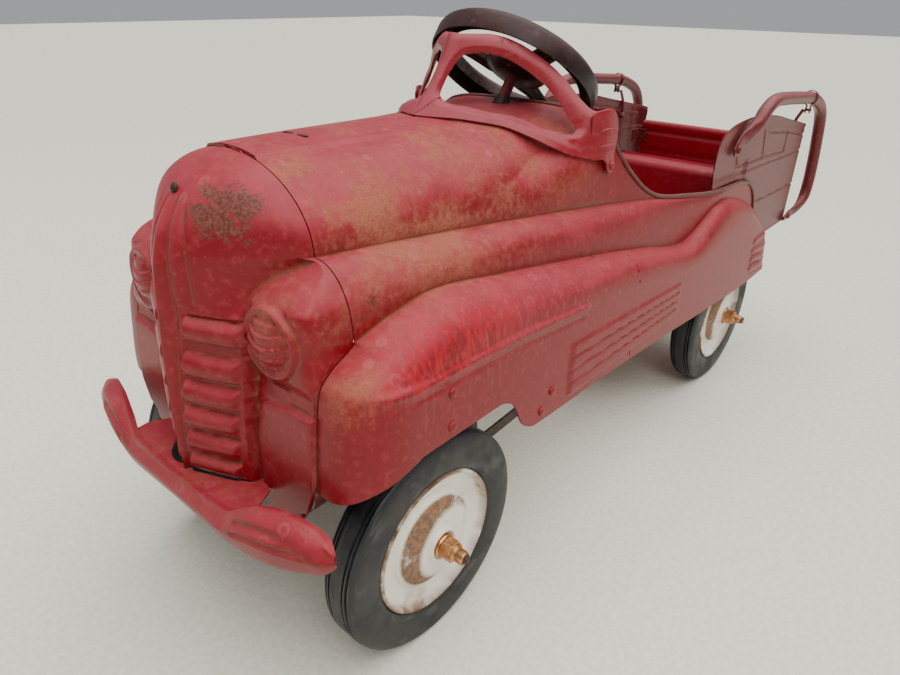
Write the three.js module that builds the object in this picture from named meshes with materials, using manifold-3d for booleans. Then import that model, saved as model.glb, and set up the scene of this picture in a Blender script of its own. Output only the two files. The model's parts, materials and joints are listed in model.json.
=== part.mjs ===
// Pressed-steel pedal car with a wagon back, built as an assembly of separate parts.
// Millimetres, +Z up. The nose points along -Y and +X is the car's left side.
// Everything is modelled from the front axle (y = 0, floor at z = 0); the outer group then
// moves the car so that the origin is on the floor below the middle of its length.
import * as THREE from 'three';
import { mergeVertices } from 'three/addons/utils/BufferGeometryUtils.js';
import Module from 'manifold-3d';

const wasm = await Module();
wasm.setup();

// ---------------------------------------------------------------- driving dimensions
const WHEELBASE = 622;
const WHEEL_RADIUS = 101.6;
const TYRE_WIDTH = 34;
const TYRE_OUTER_FACE = 156;
const DISC_RADIUS = 67;
const AXLE_Z = WHEEL_RADIUS;
const AXLE_TIP = 188;
const AXLE_DIAMETER = 9.5;
const MIDDLE_Y = 390.4; // middle of the overall length, measured from the front axle
const SHEET = 1.8; // body sheet with its paint
const GAP = 0.4; // air left between touching pieces

const FLANK_X = 170; // fender sides
const WALL_X = 150.5; // rear body wall above the fenders
const SEAM_Y = -55; // hood to nose seam
const HOOD_TOP = 419;

const COLUMN_TOP = { y: 284, z: 444 };
const COLUMN_SLOPE = THREE.MathUtils.degToRad(53.5); // rise of the column above the horizontal
const RIM_RADIUS = 90;
const CRANK_OFFSET = 22.7; // steering crank radius at the foot of the column
const STEER_ARM = 56; // steering arm length behind each kingpin
const KINGPIN_X = 114;

const THROW = 35; // crank throw of the rear axle
const THROW_X = 87; // pedal rods' distance from the middle
const PEDAL_PIVOT = { y: 130, z: 190 };
const PEDAL_LEVER = 92;

const SEAT = { front: 430, back: 640, z: 226, backTop: 298, halfWidth: 145.6 };
const DECK = { z: 262, rear: 858 };
const RAIL_DIAMETER = 17.5;

// ---------------------------------------------------------------- materials
const paint = (colour, roughness, metalness) =>
  new THREE.MeshStandardMaterial({ color: colour, roughness, metalness });
const RED = paint(0xa81e2a, 0.5, 0.1);
const FADED_RED = paint(0xb45a5c, 0.6, 0.1);
const BROWN_RED = paint(0x8a4a48, 0.65, 0.1);
const RUBBER = paint(0x26282a, 0.8, 0);
const CREAM = paint(0xe2dccb, 0.45, 0.1);
const BRASS = paint(0xc2874a, 0.45, 0.8);
const STEEL = paint(0x6b625a, 0.6, 0.8);

// ---------------------------------------------------------------- geometry helpers
const clamp01 = (t) => Math.min(1, Math.max(0, t));
const lerp = (a, b, t) => a + (b - a) * t;

// A smooth function through [position, value] knots that never overshoots them.
function through(knots) {
  const last = knots.length - 1;
  const rise = (i) => (knots[i + 1][1] - knots[i][1]) / (knots[i + 1][0] - knots[i][0]);
  const slope = knots.map((_, i) => {
    if (i === 0) return rise(0);
    if (i === last) return rise(last - 1);
    const before = rise(i - 1);
    const after = rise(i);
    return before * after > 0 ? (2 * before * after) / (before + after) : 0;
  });
  return (at) => {
    const where = Math.min(knots[last][0], Math.max(knots[0][0], at));
    let i = 0;
    while (i < last - 1 && where > knots[i + 1][0]) i += 1;
    const span = knots[i + 1][0] - knots[i][0];
    const t = (where - knots[i][0]) / span;
    const ease = t * t * (3 - 2 * t);
    const hump = t * (1 - t) * span;
    return lerp(knots[i][1], knots[i + 1][1], ease)
      + hump * ((1 - t) * slope[i] - t * slope[i + 1]);
  };
}

// Quarter of a superellipse: from (0, 1) at t = 0 to (1, 0) at t = 1.
function quarter(t, power) {
  const angle = clamp01(t) * Math.PI / 2;
  return { across: Math.sin(angle) ** (2 / power), down: Math.cos(angle) ** (2 / power) };
}

function closedGeometry(points, faces) {
  const raw = new THREE.BufferGeometry();
  raw.setAttribute('position', new THREE.Float32BufferAttribute(points.flat(), 3));
  raw.setIndex(faces.flat());
  const merged = mergeVertices(raw, 1e-3);
  const index = merged.index.array;
  const kept = [];
  for (let i = 0; i < index.length; i += 3) {
    const [a, b, c] = [index[i], index[i + 1], index[i + 2]];
    if (a !== b && b !== c && c !== a) kept.push(a, b, c);
  }
  merged.setIndex(kept);
  return merged;
}

function signedVolume(geometry) {
  const p = geometry.attributes.position;
  const index = geometry.index.array;
  const [a, b, c] = [new THREE.Vector3(), new THREE.Vector3(), new THREE.Vector3()];
  let sum = 0;
  for (let i = 0; i < index.length; i += 3) {
    a.fromBufferAttribute(p, index[i]);
    b.fromBufferAttribute(p, index[i + 1]);
    c.fromBufferAttribute(p, index[i + 2]);
    sum += a.dot(b.cross(c));
  }
  return sum / 6;
}

function faceOutwards(geometry) {
  if (signedVolume(geometry) >= 0) return geometry;
  const index = geometry.index.array;
  for (let i = 0; i < index.length; i += 3) {
    [index[i + 1], index[i + 2]] = [index[i + 2], index[i + 1]];
  }
  return geometry;
}

// A pressed sheet: the grid holds the points of its outer face, row by row.
// thickness may be negative, which puts the metal on the other side of the grid.
function sheetFromGrid(grid, thickness) {
  const rows = grid.length;
  const cols = grid[0].length;
  const at = (r, c) => grid[Math.min(rows - 1, Math.max(0, r))][Math.min(cols - 1, Math.max(0, c))];
  const points = [];
  for (const side of [0, 1]) {
    for (let r = 0; r < rows; r += 1) {
      for (let c = 0; c < cols; c += 1) {
        const along = at(r + 1, c).clone().sub(at(r - 1, c));
        const across = at(r, c + 1).clone().sub(at(r, c - 1));
        const normal = along.cross(across).normalize();
        const point = at(r, c).clone().addScaledVector(normal, side * thickness);
        points.push([point.x, point.y, point.z]);
      }
    }
  }
  const id = (side, r, c) => side * rows * cols + r * cols + c;
  const faces = [];
  const quad = (a, b, c, d) => faces.push([a, b, c], [a, c, d]);
  for (let r = 0; r < rows - 1; r += 1) {
    for (let c = 0; c < cols - 1; c += 1) {
      quad(id(0, r, c), id(0, r + 1, c), id(0, r + 1, c + 1), id(0, r, c + 1));
      quad(id(1, r, c), id(1, r, c + 1), id(1, r + 1, c + 1), id(1, r + 1, c));
    }
  }
  for (let c = 0; c < cols - 1; c += 1) {
    quad(id(0, 0, c), id(0, 0, c + 1), id(1, 0, c + 1), id(1, 0, c));
    quad(id(0, rows - 1, c + 1), id(0, rows - 1, c), id(1, rows - 1, c), id(1, rows - 1, c + 1));
  }
  for (let r = 0; r < rows - 1; r += 1) {
    quad(id(0, r + 1, 0), id(0, r, 0), id(1, r, 0), id(1, r + 1, 0));
    quad(id(0, r, cols - 1), id(0, r + 1, cols - 1), id(1, r + 1, cols - 1), id(1, r, cols - 1));
  }
  return faceOutwards(closedGeometry(points, faces));
}

// The same shape with shared vertices merged and its faces pointing out.
function outward(geometry) {
  const bare = geometry.clone();
  bare.deleteAttribute('normal');
  bare.deleteAttribute('uv');
  return faceOutwards(mergeVertices(bare, 1e-3));
}

function toSolid(geometry) {
  const merged = outward(geometry);
  return new wasm.Manifold(new wasm.Mesh({
    numProp: 3,
    vertProperties: new Float32Array(merged.attributes.position.array),
    triVerts: new Uint32Array(merged.index.array),
  }));
}

function toGeometry(solid) {
  const mesh = solid.getMesh();
  const geometry = new THREE.BufferGeometry();
  geometry.setAttribute('position', new THREE.BufferAttribute(mesh.vertProperties, 3));
  geometry.setIndex(new THREE.BufferAttribute(mesh.triVerts, 1));
  return geometry;
}

const join = (...parts) => toGeometry(parts.map(toSolid).reduce((a, b) => a.add(b)));
const cut = (base, ...tools) =>
  toGeometry(tools.map(toSolid).reduce((a, b) => a.subtract(b), toSolid(base)));
// The main piece of a cut, without the slivers that a grazing cut leaves.
const largest = (geometry) =>
  toGeometry(toSolid(geometry).decompose().sort((a, b) => b.volume() - a.volume())[0]);
const overlap = (a, b) => toGeometry(toSolid(a).intersect(toSolid(b)));

const box = (x0, x1, y0, y1, z0, z1) =>
  new THREE.BoxGeometry(x1 - x0, y1 - y0, z1 - z0)
    .translate((x0 + x1) / 2, (y0 + y1) / 2, (z0 + z1) / 2);

// A round bar between two points [x, y, z].
function bar(from, to, diameter, sides = 8) {
  const a = new THREE.Vector3(...from);
  const b = new THREE.Vector3(...to);
  const turn = new THREE.Quaternion()
    .setFromUnitVectors(new THREE.Vector3(0, 1, 0), b.clone().sub(a).normalize());
  return new THREE.CylinderGeometry(diameter / 2, diameter / 2, a.distanceTo(b), sides)
    .applyQuaternion(turn)
    .translate((a.x + b.x) / 2, (a.y + b.y) / 2, (a.z + b.z) / 2);
}

// A bent round bar through the given points, with a ball at each bend.
function bentBar(points, diameter, sides = 8) {
  const parts = [];
  for (let i = 0; i < points.length - 1; i += 1) {
    parts.push(bar(points[i], points[i + 1], diameter, sides));
    if (i > 0) parts.push(new THREE.SphereGeometry(diameter / 2, sides, 4).translate(...points[i]));
  }
  return join(...parts);
}

// A flat plate: outline in (y, z), from x0 to x1.
function sidePlate(outline, x0, x1) {
  const shape = new THREE.Shape(outline.map(([y, z]) => new THREE.Vector2(y, z)));
  return new THREE.ExtrudeGeometry(shape, { depth: x1 - x0, bevelEnabled: false, curveSegments: 6 })
    .applyMatrix4(new THREE.Matrix4().set(0, 0, 1, x0, 1, 0, 0, 0, 0, 1, 0, 0, 0, 0, 0, 1));
}

// A level plate: outline in (x, y), from z0 to z1.
function levelPlate(outline, z0, z1) {
  const shape = new THREE.Shape(outline.map(([x, y]) => new THREE.Vector2(x, y)));
  return new THREE.ExtrudeGeometry(shape, { depth: z1 - z0, bevelEnabled: false })
    .translate(0, 0, z0);
}

// A tube along a smooth route through the given points.
function tubeAlong(points, diameter, steps, sides = 8) {
  const route = new THREE.CatmullRomCurve3(points.map((p) => new THREE.Vector3(...p)));
  const circle = new THREE.Shape(Array.from({ length: sides }, (_, i) => new THREE.Vector2(
    Math.cos(2 * Math.PI * i / sides) * diameter / 2,
    Math.sin(2 * Math.PI * i / sides) * diameter / 2,
  )));
  return new THREE.ExtrudeGeometry(circle, { steps, bevelEnabled: false, extrudePath: route });
}

// A turned piece about the X axis: profile in (distance along x, radius).
function turned(profile, segments) {
  return new THREE.LatheGeometry(profile.map(([x, r]) => new THREE.Vector2(r, x)), segments)
    .rotateZ(-Math.PI / 2);
}

const mirrored = (geometry) => outward(geometry.clone().scale(-1, 1, 1));

// ---------------------------------------------------------------- body lines, as functions of y
const hoodFoot = {
  x: through([[-55, 89], [13, 96], [88, 102], [170, 110], [253, 117], [294, 121], [357, 130],
    [392, 134], [445, 141], [514, 148], [560, WALL_X]]),
  z: through([[-55, 358], [13, 354], [88, 348], [170, 341], [253, 333], [294, 329], [357, 323],
    [392, 318], [445, 309], [514, 300], [720, 296]]),
};
const hoodFullness = through([[-55, 2.05], [100, 2.3], [180, 2.7], [260, 3.8], [320, 4.5]]);
const CATWALK_FULLNESS = 2.2;
const fenderTop = {
  x: through([[-55, 125], [-22, 127], [18, 129], [98, 132], [188, 136], [256, 139.5], [338, 143.5],
    [440, 148], [497, WALL_X]]),
  z: through([[-55, 305], [-22, 316], [18, 323], [98, 313], [188, 300], [256, 290], [338, 276],
    [440, 258], [470, 266], [497, 278], [520, 286], [548, 289], [580, 284], [622, 272],
    [663, 250], [689, 230], [720, 206]]),
};
const FENDER_FULLNESS = 2.3;
const shoulderZ = through([[-55, 272], [95, 268], [190, 264], [300, 250], [430, 232], [500, 236],
  [560, 240], [660, 215], [720, 190]]);
const lowerEdge = through([[-55, 219], [58, 219], [75, 212], [95, 180], [113, 172], [230, 169],
  [393, 161], [498, 154], [669, 147], [720, 149]]);
const tailEdgeY = (z) => lerp(722, 700, clamp01((z - 150) / 63));

// Points of the half section at y, from the middle of the hood down to the lower edge.
const HOOD_STEPS = 6;
const CATWALK_STEPS = 4;
const FENDER_STEPS = 4;
const FLANK_STEPS = 2;
function halfSection(y) {
  const points = [];
  const foot = { x: hoodFoot.x(y), z: hoodFoot.z(y) };
  const valley = { x: fenderTop.x(y), z: fenderTop.z(y) };
  const lobe = (from, to, steps, power, first) => {
    for (let i = first; i <= steps; i += 1) {
      const q = quarter(i / steps, power);
      points.push([lerp(from.x, to.x, q.across), lerp(to.z, from.z, q.down)]);
    }
  };
  lobe({ x: 0, z: HOOD_TOP }, foot, HOOD_STEPS, hoodFullness(y), 0);
  lobe(foot, valley, CATWALK_STEPS, CATWALK_FULLNESS, 1);
  const shoulder = { x: FLANK_X, z: shoulderZ(y) };
  lobe(valley, shoulder, FENDER_STEPS, FENDER_FULLNESS, 1);
  for (let i = 1; i <= FLANK_STEPS; i += 1) {
    points.push([FLANK_X, lerp(shoulder.z, lowerEdge(y), i / FLANK_STEPS)]);
  }
  return points;
}

// The nose seam: x and y of the edge of the nose panel at height z. Down to SEAM_TOP it is
// the body's own section; below that it runs forward round the front of the fender.
const SEAM_TOP = 305;
const SEAM_BOTTOM = 199;
const seamSection = halfSection(SEAM_Y).slice(0, HOOD_STEPS + CATWALK_STEPS + 1).reverse();
const seamX = through([[172, 108], [180, 120], [190, 126], [205, 127],
  ...seamSection.map(([x, z]) => [z, x])]);
const seamY = through([[172, -98], [205, -98], [240, -95], [270, -91], [282, -87], [292, -76],
  [SEAM_TOP, SEAM_Y], [HOOD_TOP, SEAM_Y]]);

// ---------------------------------------------------------------- main body
function mainBodyGrid() {
  const firstFlat = -35;
  const frontStations = [0, 0.35, 0.7];
  const stations = [-35, 0, 45, 75, 95, 115, 165, 205, 245, 300, 360, 430, 465, 495, 530, 570,
    612, 660, 700];
  const fenderStart = HOOD_STEPS + CATWALK_STEPS;
  const flat = halfSection(firstFlat);
  const low = flat[flat.length - 1][1];
  const rows = frontStations.map((t) => flat.map(([x, z], i) => {
    const seamZ = lerp(SEAM_BOTTOM, SEAM_TOP, (z - low) / (flat[fenderStart][1] - low));
    const isFender = i > fenderStart;
    const start = isFender
      ? [seamX(seamZ), seamY(seamZ), seamZ]
      : [halfSection(SEAM_Y)[i][0], SEAM_Y, halfSection(SEAM_Y)[i][1]];
    const angle = t * Math.PI / 2;
    const across = isFender ? Math.sin(angle) ** 0.6 : t;
    const back = isFender ? 1 - Math.cos(angle) : t;
    return new THREE.Vector3(
      lerp(start[0], x, across),
      lerp(start[1], firstFlat, back),
      lerp(start[2], z, back),
    );
  }));
  for (const y of stations) {
    rows.push(halfSection(y).map(([x, z]) => new THREE.Vector3(x, y, z)));
  }
  const tail = halfSection(712);
  rows.push(tail.map(([x, z]) => new THREE.Vector3(x, tailEdgeY(z), z)));
  return rows.map((row) => [
    ...row.slice(1).reverse().map((p) => new THREE.Vector3(-p.x, p.y, p.z)),
    ...row,
  ]);
}

// Side view of the cockpit opening; the floor of the outline is the rolled edge.
const COCKPIT_EDGE = [[292, 412], [296, 399], [306, 379], [330, 354], [361, 332], [392, 320],
  [445, 312], [514, 304], [600, 301], [612, 292]];

function cockpitCutter() {
  return sidePlate([...COCKPIT_EDGE, [612, 100], [800, 100], [800, 500], [292, 500]],
    -WALL_X - 0.8, WALL_X + 0.8);
}

const columnDirection = new THREE.Vector3(0, Math.cos(COLUMN_SLOPE), Math.sin(COLUMN_SLOPE));
const onColumn = (distance) => [
  0,
  COLUMN_TOP.y + columnDirection.y * distance,
  COLUMN_TOP.z + columnDirection.z * distance,
];

const bodySheet = sheetFromGrid(mainBodyGrid(), SHEET);

function mainBody() {
  const columnHole = bar(onColumn(-50), onColumn(-10), 17);
  return largest(cut(bodySheet, cockpitCutter(), columnHole));
}

// A piece trimmed clear of the body sheet, with air left in the given direction.
function clearOfBody(geometry, [dx, dy, dz]) {
  const moved = (t) => bodySheet.clone().translate(dx * t, dy * t, dz * t);
  return largest(cut(geometry, moved(0), moved(0.5), moved(1)));
}

// ---------------------------------------------------------------- nose panel
const noseFront = through([[172, -133], [221, -134], [270, -132], [315, -129], [345, -125],
  [370, -118], [385, -109.5], [399, -98.5], [409, -84], [415, -70], [HOOD_TOP, SEAM_Y]]);
const noseWidth = through([[172, 64], [250, 64.5], [285, 67], [305, 71], [330, 80],
  ...seamSection.slice(CATWALK_STEPS).map(([x, z]) => [z, x])]);
const NOSE_FALL = 0.43; // how fast the grille faces recede from the middle of the nose
const noseFullness = through([[300, 1.3], [365, 1.35], [400, 1.7], [HOOD_TOP, 1.9]]);
const podFront = through([[172, -99], [240, -96], [256, -95], [262, -92], [270, -90], [277, -94],
  [282, -96], [330, -95], [340, -87], [348, -72], [354, -60], [358, SEAM_Y]]);
const podInner = through([[172, 60], [256, 62], [266, 60], [282, 56], [307, 54], [330, 56],
  [345, 66], [354, 78], [358, 86]]);
const hollowFront = through([[172, -95], [250, -93], [266, -88], [280, -84], [305, -78],
  [335, -68], [352, -60], [358, SEAM_Y]]);
const LOBE_FOOT = 358; // below this height the nose widens into the headlight pods
const SOFT_JOIN = 5;

const smoothMin = (a, b) => {
  const h = clamp01(0.5 + (b - a) / (2 * SOFT_JOIN));
  return lerp(b, a, h) - SOFT_JOIN * h * (1 - h);
};
const smoothMax = (a, b) => -smoothMin(-a, -b);

// y of the nose panel's outer face at (x, z).
function noseSurface(x, z) {
  const edgeX = Math.max(seamX(z), 0.5);
  const edgeY = seamY(z);
  const width = Math.max(Math.min(noseWidth(z), edgeX), 0.5);
  const power = noseFullness(z);
  const fall = Math.max(0, 1 - (x / width) ** power) ** (1 / power);
  const round = lerp(SEAM_Y, noseFront(z), fall);
  if (z >= LOBE_FOOT) return round;
  const grille = smoothMax(noseFront(z) + 1.5 + NOSE_FALL * x, SEAM_Y - 10 * (width - x));
  const lobe = lerp(grille, round, clamp01((z - 310) / 40));
  const rim = Math.max(0, 1 - (x / edgeX) ** 7) ** (1 / 7);
  const inner = quarter(1 - clamp01((x - podInner(z) + 6) / 14), 2).down;
  const pod = lerp(edgeY, podFront(z), rim * inner);
  const hollow = lerp(edgeY, hollowFront(z), rim);
  return x >= edgeX - 0.01 ? edgeY : smoothMin(smoothMin(lobe, pod), hollow);
}

const NOSE_ROWS = [...seamSection.map(([, z]) => z).reverse(), 293.3, 279.5, 260, 245, 229.5,
  214, 199, 172];
const NOSE_SET_BACK = 1.1; // the panel edge lies this far inside the seam
const NOSE_SPREAD = [0, 0.17, 0.35, 0.455, 0.5, 0.58, 0.75, 0.9, 1];

function nosePanel() {
  const grid = NOSE_ROWS.map((z) => {
    const air = z < HOOD_TOP - 1 ? GAP : 1.4; // the crown's inner face leans back
    const edge = Math.max(seamX(z) - NOSE_SET_BACK, 0.5);
    const half = NOSE_SPREAD.map((t) => {
      const y = t === 1 ? seamY(z) - NOSE_SET_BACK : noseSurface(edge * t, z);
      return new THREE.Vector3(edge * t, y - air, z);
    });
    return [
      ...half.slice(1).reverse().map((p) => new THREE.Vector3(-p.x, p.y, p.z)),
      ...half,
    ];
  });
  return sheetFromGrid(grid, -SHEET);
}

// ---------------------------------------------------------------- front bumper
const BUMPER_HALF_WIDTH = 168;
const APRON_Z = { low: 176, high: 178 };
const bumperFrontY = through([[0, -146], [60, -146], [90, -144], [115, -140], [135, -135],
  [150, -130], [160, -126], [168, -120]]);
const bumperDepth = through([[0, 3], [65, 5], [90, 10], [120, 13], [150, 11], [168, 3]]);
const bumperTopZ = through([[0, 179], [70, 180], [85, 188], [100, 195], [122, 198], [140, 197],
  [155, 191], [168, 182]]);
const bumperBottomZ = through([[0, 151], [90, 149], [118, 151], [138, 157], [152, 162],
  [168, 172]]);

function frontBumper() {
  const stations = 16;
  const grid = [];
  for (let i = 0; i <= stations; i += 1) {
    const x = lerp(-BUMPER_HALF_WIDTH, BUMPER_HALF_WIDTH, i / stations);
    const y = bumperFrontY(Math.abs(x));
    const depth = bumperDepth(Math.abs(x));
    const top = bumperTopZ(Math.abs(x));
    const bottom = bumperBottomZ(Math.abs(x));
    const middle = (top + bottom) / 2;
    grid.push([
      new THREE.Vector3(x, y + depth + 4, top - 1.5),
      new THREE.Vector3(x, y + depth - 2, top),
      new THREE.Vector3(x, y + 1.5, top - 5),
      new THREE.Vector3(x, y - 3, middle + 3),
      new THREE.Vector3(x, y - 2, middle - 6),
      new THREE.Vector3(x, y + 2, bottom + 2),
      new THREE.Vector3(x, y + 8, bottom),
    ]);
  }
  const channel = sheetFromGrid(grid, SHEET);
  const apron = cut(
    levelPlate([[-74, -140], [74, -140], [72, -118], [66, -96], [-66, -96], [-72, -118]],
      APRON_Z.low, APRON_Z.high),
    nosePlug(),
  );
  return join(channel, apron);
}

// The space the nose panel's foot takes out of the bumper apron.
function nosePlug() {
  const outline = [];
  const steps = 16;
  for (let i = -steps; i <= steps; i += 1) {
    const x = 92 * i / steps;
    outline.push([x, noseSurface(Math.abs(x), 177) - 3.5]);
  }
  return levelPlate([...outline, [92, -60], [-92, -60]], 150, 200);
}

// ---------------------------------------------------------------- windshield frame
const frameBaseY = through([[0, 135], [29, 147], [40, 157], [52, 167], [67, 184], [87, 197],
  [102, 216], [110, 234], [118, 266]]);
const frameBaseZ = through([[0, 418.5], [29, 419], [40, 417.6], [52, 415.7], [67, 412], [87, 404],
  [102, 393], [110, 385], [118, 377]]);
const frameTopY = through([[0, 184], [12, 193], [26.5, 204], [38.5, 214], [52, 224], [64.5, 234],
  [77, 245], [91.5, 253], [102.5, 258], [118, 263]]);
const frameTopZ = through([[0, 487], [26.5, 486.6], [38.5, 483], [52, 475], [64.5, 464],
  [77, 453], [91.5, 437], [102.5, 426], [112, 421], [118, 421]]);
const WINDOW = [[12, 438], [9, 447], [10, 458], [13, 469], [21, 472], [33, 472], [50, 466],
  [69, 452], [89, 432], [103, 412], [105.5, 405], [98, 408], [71, 421], [38, 430]];

function framePoint(x, t) {
  const lean = t + 0.12 * Math.sin(Math.PI * t);
  return new THREE.Vector3(
    x,
    lerp(frameBaseY(Math.abs(x)), frameTopY(Math.abs(x)), lean),
    lerp(frameBaseZ(Math.abs(x)), frameTopZ(Math.abs(x)), t),
  );
}

function windshieldFrame() {
  const half = [0, 12, 26, 38, 52, 66, 80, 94, 106, 113, 118];
  const across = [...half.slice(1).reverse().map((x) => -x), ...half];
  const upSteps = 5;
  const grid = Array.from({ length: upSteps + 1 }, (_, r) =>
    across.map((x) => framePoint(x, r / upSteps).add(new THREE.Vector3(0, 0, 0.8))));
  const windows = [1, -1].map((side) => {
    const shape = new THREE.Shape(WINDOW.map(([x, z]) => new THREE.Vector2(side * x, z)));
    return new THREE.ExtrudeGeometry(shape, { depth: 200, bevelEnabled: false })
      .rotateX(Math.PI / 2).translate(0, 290, 0);
  });
  return clearOfBody(cut(sheetFromGrid(grid, 2.2), ...windows), [0, 0, 1]);
}

// The rounded fin at each rear end of the frame, with the tab that is riveted to the cowl.
function windshieldFin(side) {
  const outline = [[264, 377], [262, 419], [270, 426], [283, 423], [291, 411], [292, 393],
    [288, 380], [292, 369], [288, 361], [280, 363], [276, 373]];
  const inner = 121.8;
  const x = side > 0 ? [inner, inner + 2.4] : [-inner - 2.4, -inner];
  return sidePlate(outline, ...x);
}

// ---------------------------------------------------------------- seat, deck and wagon back
function bentSheet(profile, halfWidth, thickness) {
  const grid = [-halfWidth, halfWidth].map((x) =>
    profile.map(([y, z]) => new THREE.Vector3(x, y, z)));
  return sheetFromGrid(grid, thickness);
}

function seatPan() {
  const { front, back, z, backTop, halfWidth } = SEAT;
  return bentSheet([[front + 4, z - 26], [front, z - 22], [front, z - 5], [front + 5, z],
    [back - 6, z], [back, z + 6], [back + 3, backTop - 6], [back + 9, backTop],
    [back + 30, backTop], [back + 34, backTop - 4], [back + 34, backTop - 20]], halfWidth, -1.5);
}

function rearDeck() {
  const start = SEAT.back + 16;
  return bentSheet([[start, DECK.z - 26], [start, DECK.z - 4], [start + 4, DECK.z],
    [DECK.rear - 4, DECK.z], [DECK.rear, DECK.z - 4], [DECK.rear, DECK.z - 20]], 145.6, -1.5);
}

function tailgate() {
  const y = DECK.rear + 3;
  return bentSheet([[y, 196], [y, 262], [y + 2, 268], [y, 274], [y, 296], [y + 3, 300],
    [y, 305], [y, 314], [y + 3, 317], [y + 9, 317], [y + 11, 314], [y + 11, 308]], 124, 1.5);
}

const PANEL_X = 148.2; // outer face of the wagon side panels
const PANEL_OUTLINE = [[695, 190], [640, 218], [614, 285], [603, 303], [509, 307], [503, 330],
  [505, 356], [522, 373], [555, 381], [600, 383], [683, 377], [780, 360], [884, 340],
  [886, 330], [872, 190]];

function sidePanel() {
  const outline = sidePlate(PANEL_OUTLINE, 100, 160);
  const corner = { y: 858, radius: 26 };
  const grid = [185, 235, 285, 335, 388].map((z) => {
    const row = [495, 560, 640, 720, 800, corner.y].map((y) => new THREE.Vector3(PANEL_X, y, z));
    for (let i = 1; i <= 4; i += 1) {
      const angle = i / 4 * THREE.MathUtils.degToRad(75);
      row.push(new THREE.Vector3(
        PANEL_X - corner.radius * (1 - Math.cos(angle)),
        corner.y + corner.radius * Math.sin(angle),
        z,
      ));
    }
    return row;
  });
  return overlap(sheetFromGrid(grid, 1.5), outline);
}

const RAIL_X = 157.6;
const RAIL_ROUTE = [[RAIL_X, 596, 372], [RAIL_X, 618, 391], [RAIL_X, 648, 400], [RAIL_X, 700, 398],
  [RAIL_X, 760, 393], [RAIL_X, 812, 388], [RAIL_X, 850, 379], [RAIL_X, 879, 366],
  [RAIL_X, 895, 347], [RAIL_X, 905, 320], [RAIL_X, 915, 285], [RAIL_X, 921, 245],
  [RAIL_X, 915, 220], [RAIL_X, 899, 207]];

// A side rail: bent tube whose two ends are pressed flat and bolted to the side panel.
function sideRail() {
  const tube = tubeAlong(RAIL_ROUTE, RAIL_DIAMETER, 20);
  const face = PANEL_X + GAP;
  const frontPad = sidePlate([[546, 343], [558, 338], [576, 350], [602, 370], [597, 382],
    [580, 376], [550, 362], [544, 353]], face, face + 7);
  const frontNeck = bar([RAIL_X, 584, 361], RAIL_ROUTE[0], 13);
  const rearPad = sidePlate([[842, 188], [862, 189], [900, 198], [903, 212], [876, 208],
    [846, 205], [838, 196]], face, face + 7);
  const rearNeck = bar([RAIL_X, 882, 202], RAIL_ROUTE[RAIL_ROUTE.length - 1], 12);
  return join(tube, frontPad, frontNeck, rearPad, rearNeck);
}

const CLIP = { y: 812, z: 388, x: RAIL_X };

// A band round the rail, open at its foot, and the wire stay that hangs from it.
function railClip() {
  const band = (radius, width) => new THREE.CylinderGeometry(radius, radius, width, 16)
    .rotateX(-0.13).translate(CLIP.x, CLIP.y, CLIP.z);
  const ring = cut(band(RAIL_DIAMETER / 2 + 3, 12), band(RAIL_DIAMETER / 2 + 1.3, 20));
  const ears = box(CLIP.x - 4, CLIP.x + 4, CLIP.y - 5, CLIP.y + 5, CLIP.z - 22, CLIP.z - 10.6);
  return join(ring, ears);
}

function railStay() {
  const inside = PANEL_X - 1.5 - GAP;
  const foot = join(
    box(inside - 2, inside, 800, 820, 322, 340),
    bar([inside - 8, 810, 331], [inside - 1, 810, 331], 9, 6),
  );
  return join(
    foot,
    bentBar([[inside - 3, 810, 336], [inside - 4, 811, 350], [CLIP.x - 8.5, 812, 371],
      [CLIP.x - 4.6, 812, 371]], 5, 6),
  );
}

function tailgateTab() {
  return join(
    box(127.5, 129.5, 832, 855, 284, 304),
    box(112, 128.5, 854, 856.4, 284, 304),
  );
}

// ---------------------------------------------------------------- wheels
const HUB_RADIUS = 13;
const tyreInner = TYRE_OUTER_FACE - TYRE_WIDTH;
const wheelMiddle = TYRE_OUTER_FACE - TYRE_WIDTH / 2;

function tyre() {
  const r = WHEEL_RADIUS;
  return turned([[tyreInner + 3, DISC_RADIUS + GAP], [tyreInner, 86], [tyreInner + 6, r],
    [TYRE_OUTER_FACE - 6, r], [TYRE_OUTER_FACE, 86], [TYRE_OUTER_FACE - 3, DISC_RADIUS + GAP],
    [tyreInner + 3, DISC_RADIUS + GAP]], 28);
}

function wheelDisc() {
  const bore = AXLE_DIAMETER / 2 + GAP;
  const face = TYRE_OUTER_FACE - 2;
  const back = tyreInner + 4;
  return turned([[back, bore], [back, HUB_RADIUS], [wheelMiddle - 6, 20], [back, 62],
    [back, DISC_RADIUS], [face, DISC_RADIUS], [face, 64], [face - 11, 54], [face - 4, 22],
    [face + 7, 15], [face + 7, bore], [back, bore]], 28);
}

const HUB_FACE = TYRE_OUTER_FACE - 2 + 7;

function axleNut() {
  const bore = AXLE_DIAMETER / 2 + GAP;
  const nutStart = HUB_FACE + GAP;
  const washer = turned([[nutStart, bore], [nutStart, 13], [nutStart + 2, 13],
    [nutStart + 2, bore], [nutStart, bore]], 12);
  const hexBore = 6;
  const hex = turned([[nutStart + 1, hexBore], [nutStart + 1, 9.5], [nutStart + 11, 9.5],
    [nutStart + 12.5, 8], [nutStart + 12.5, hexBore], [nutStart + 1, hexBore]], 6);
  return join(washer, hex);
}

// ---------------------------------------------------------------- front axle and steering
const FORK = { top: 113.6, bottom: 89.6, tab: 3 };

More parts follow.
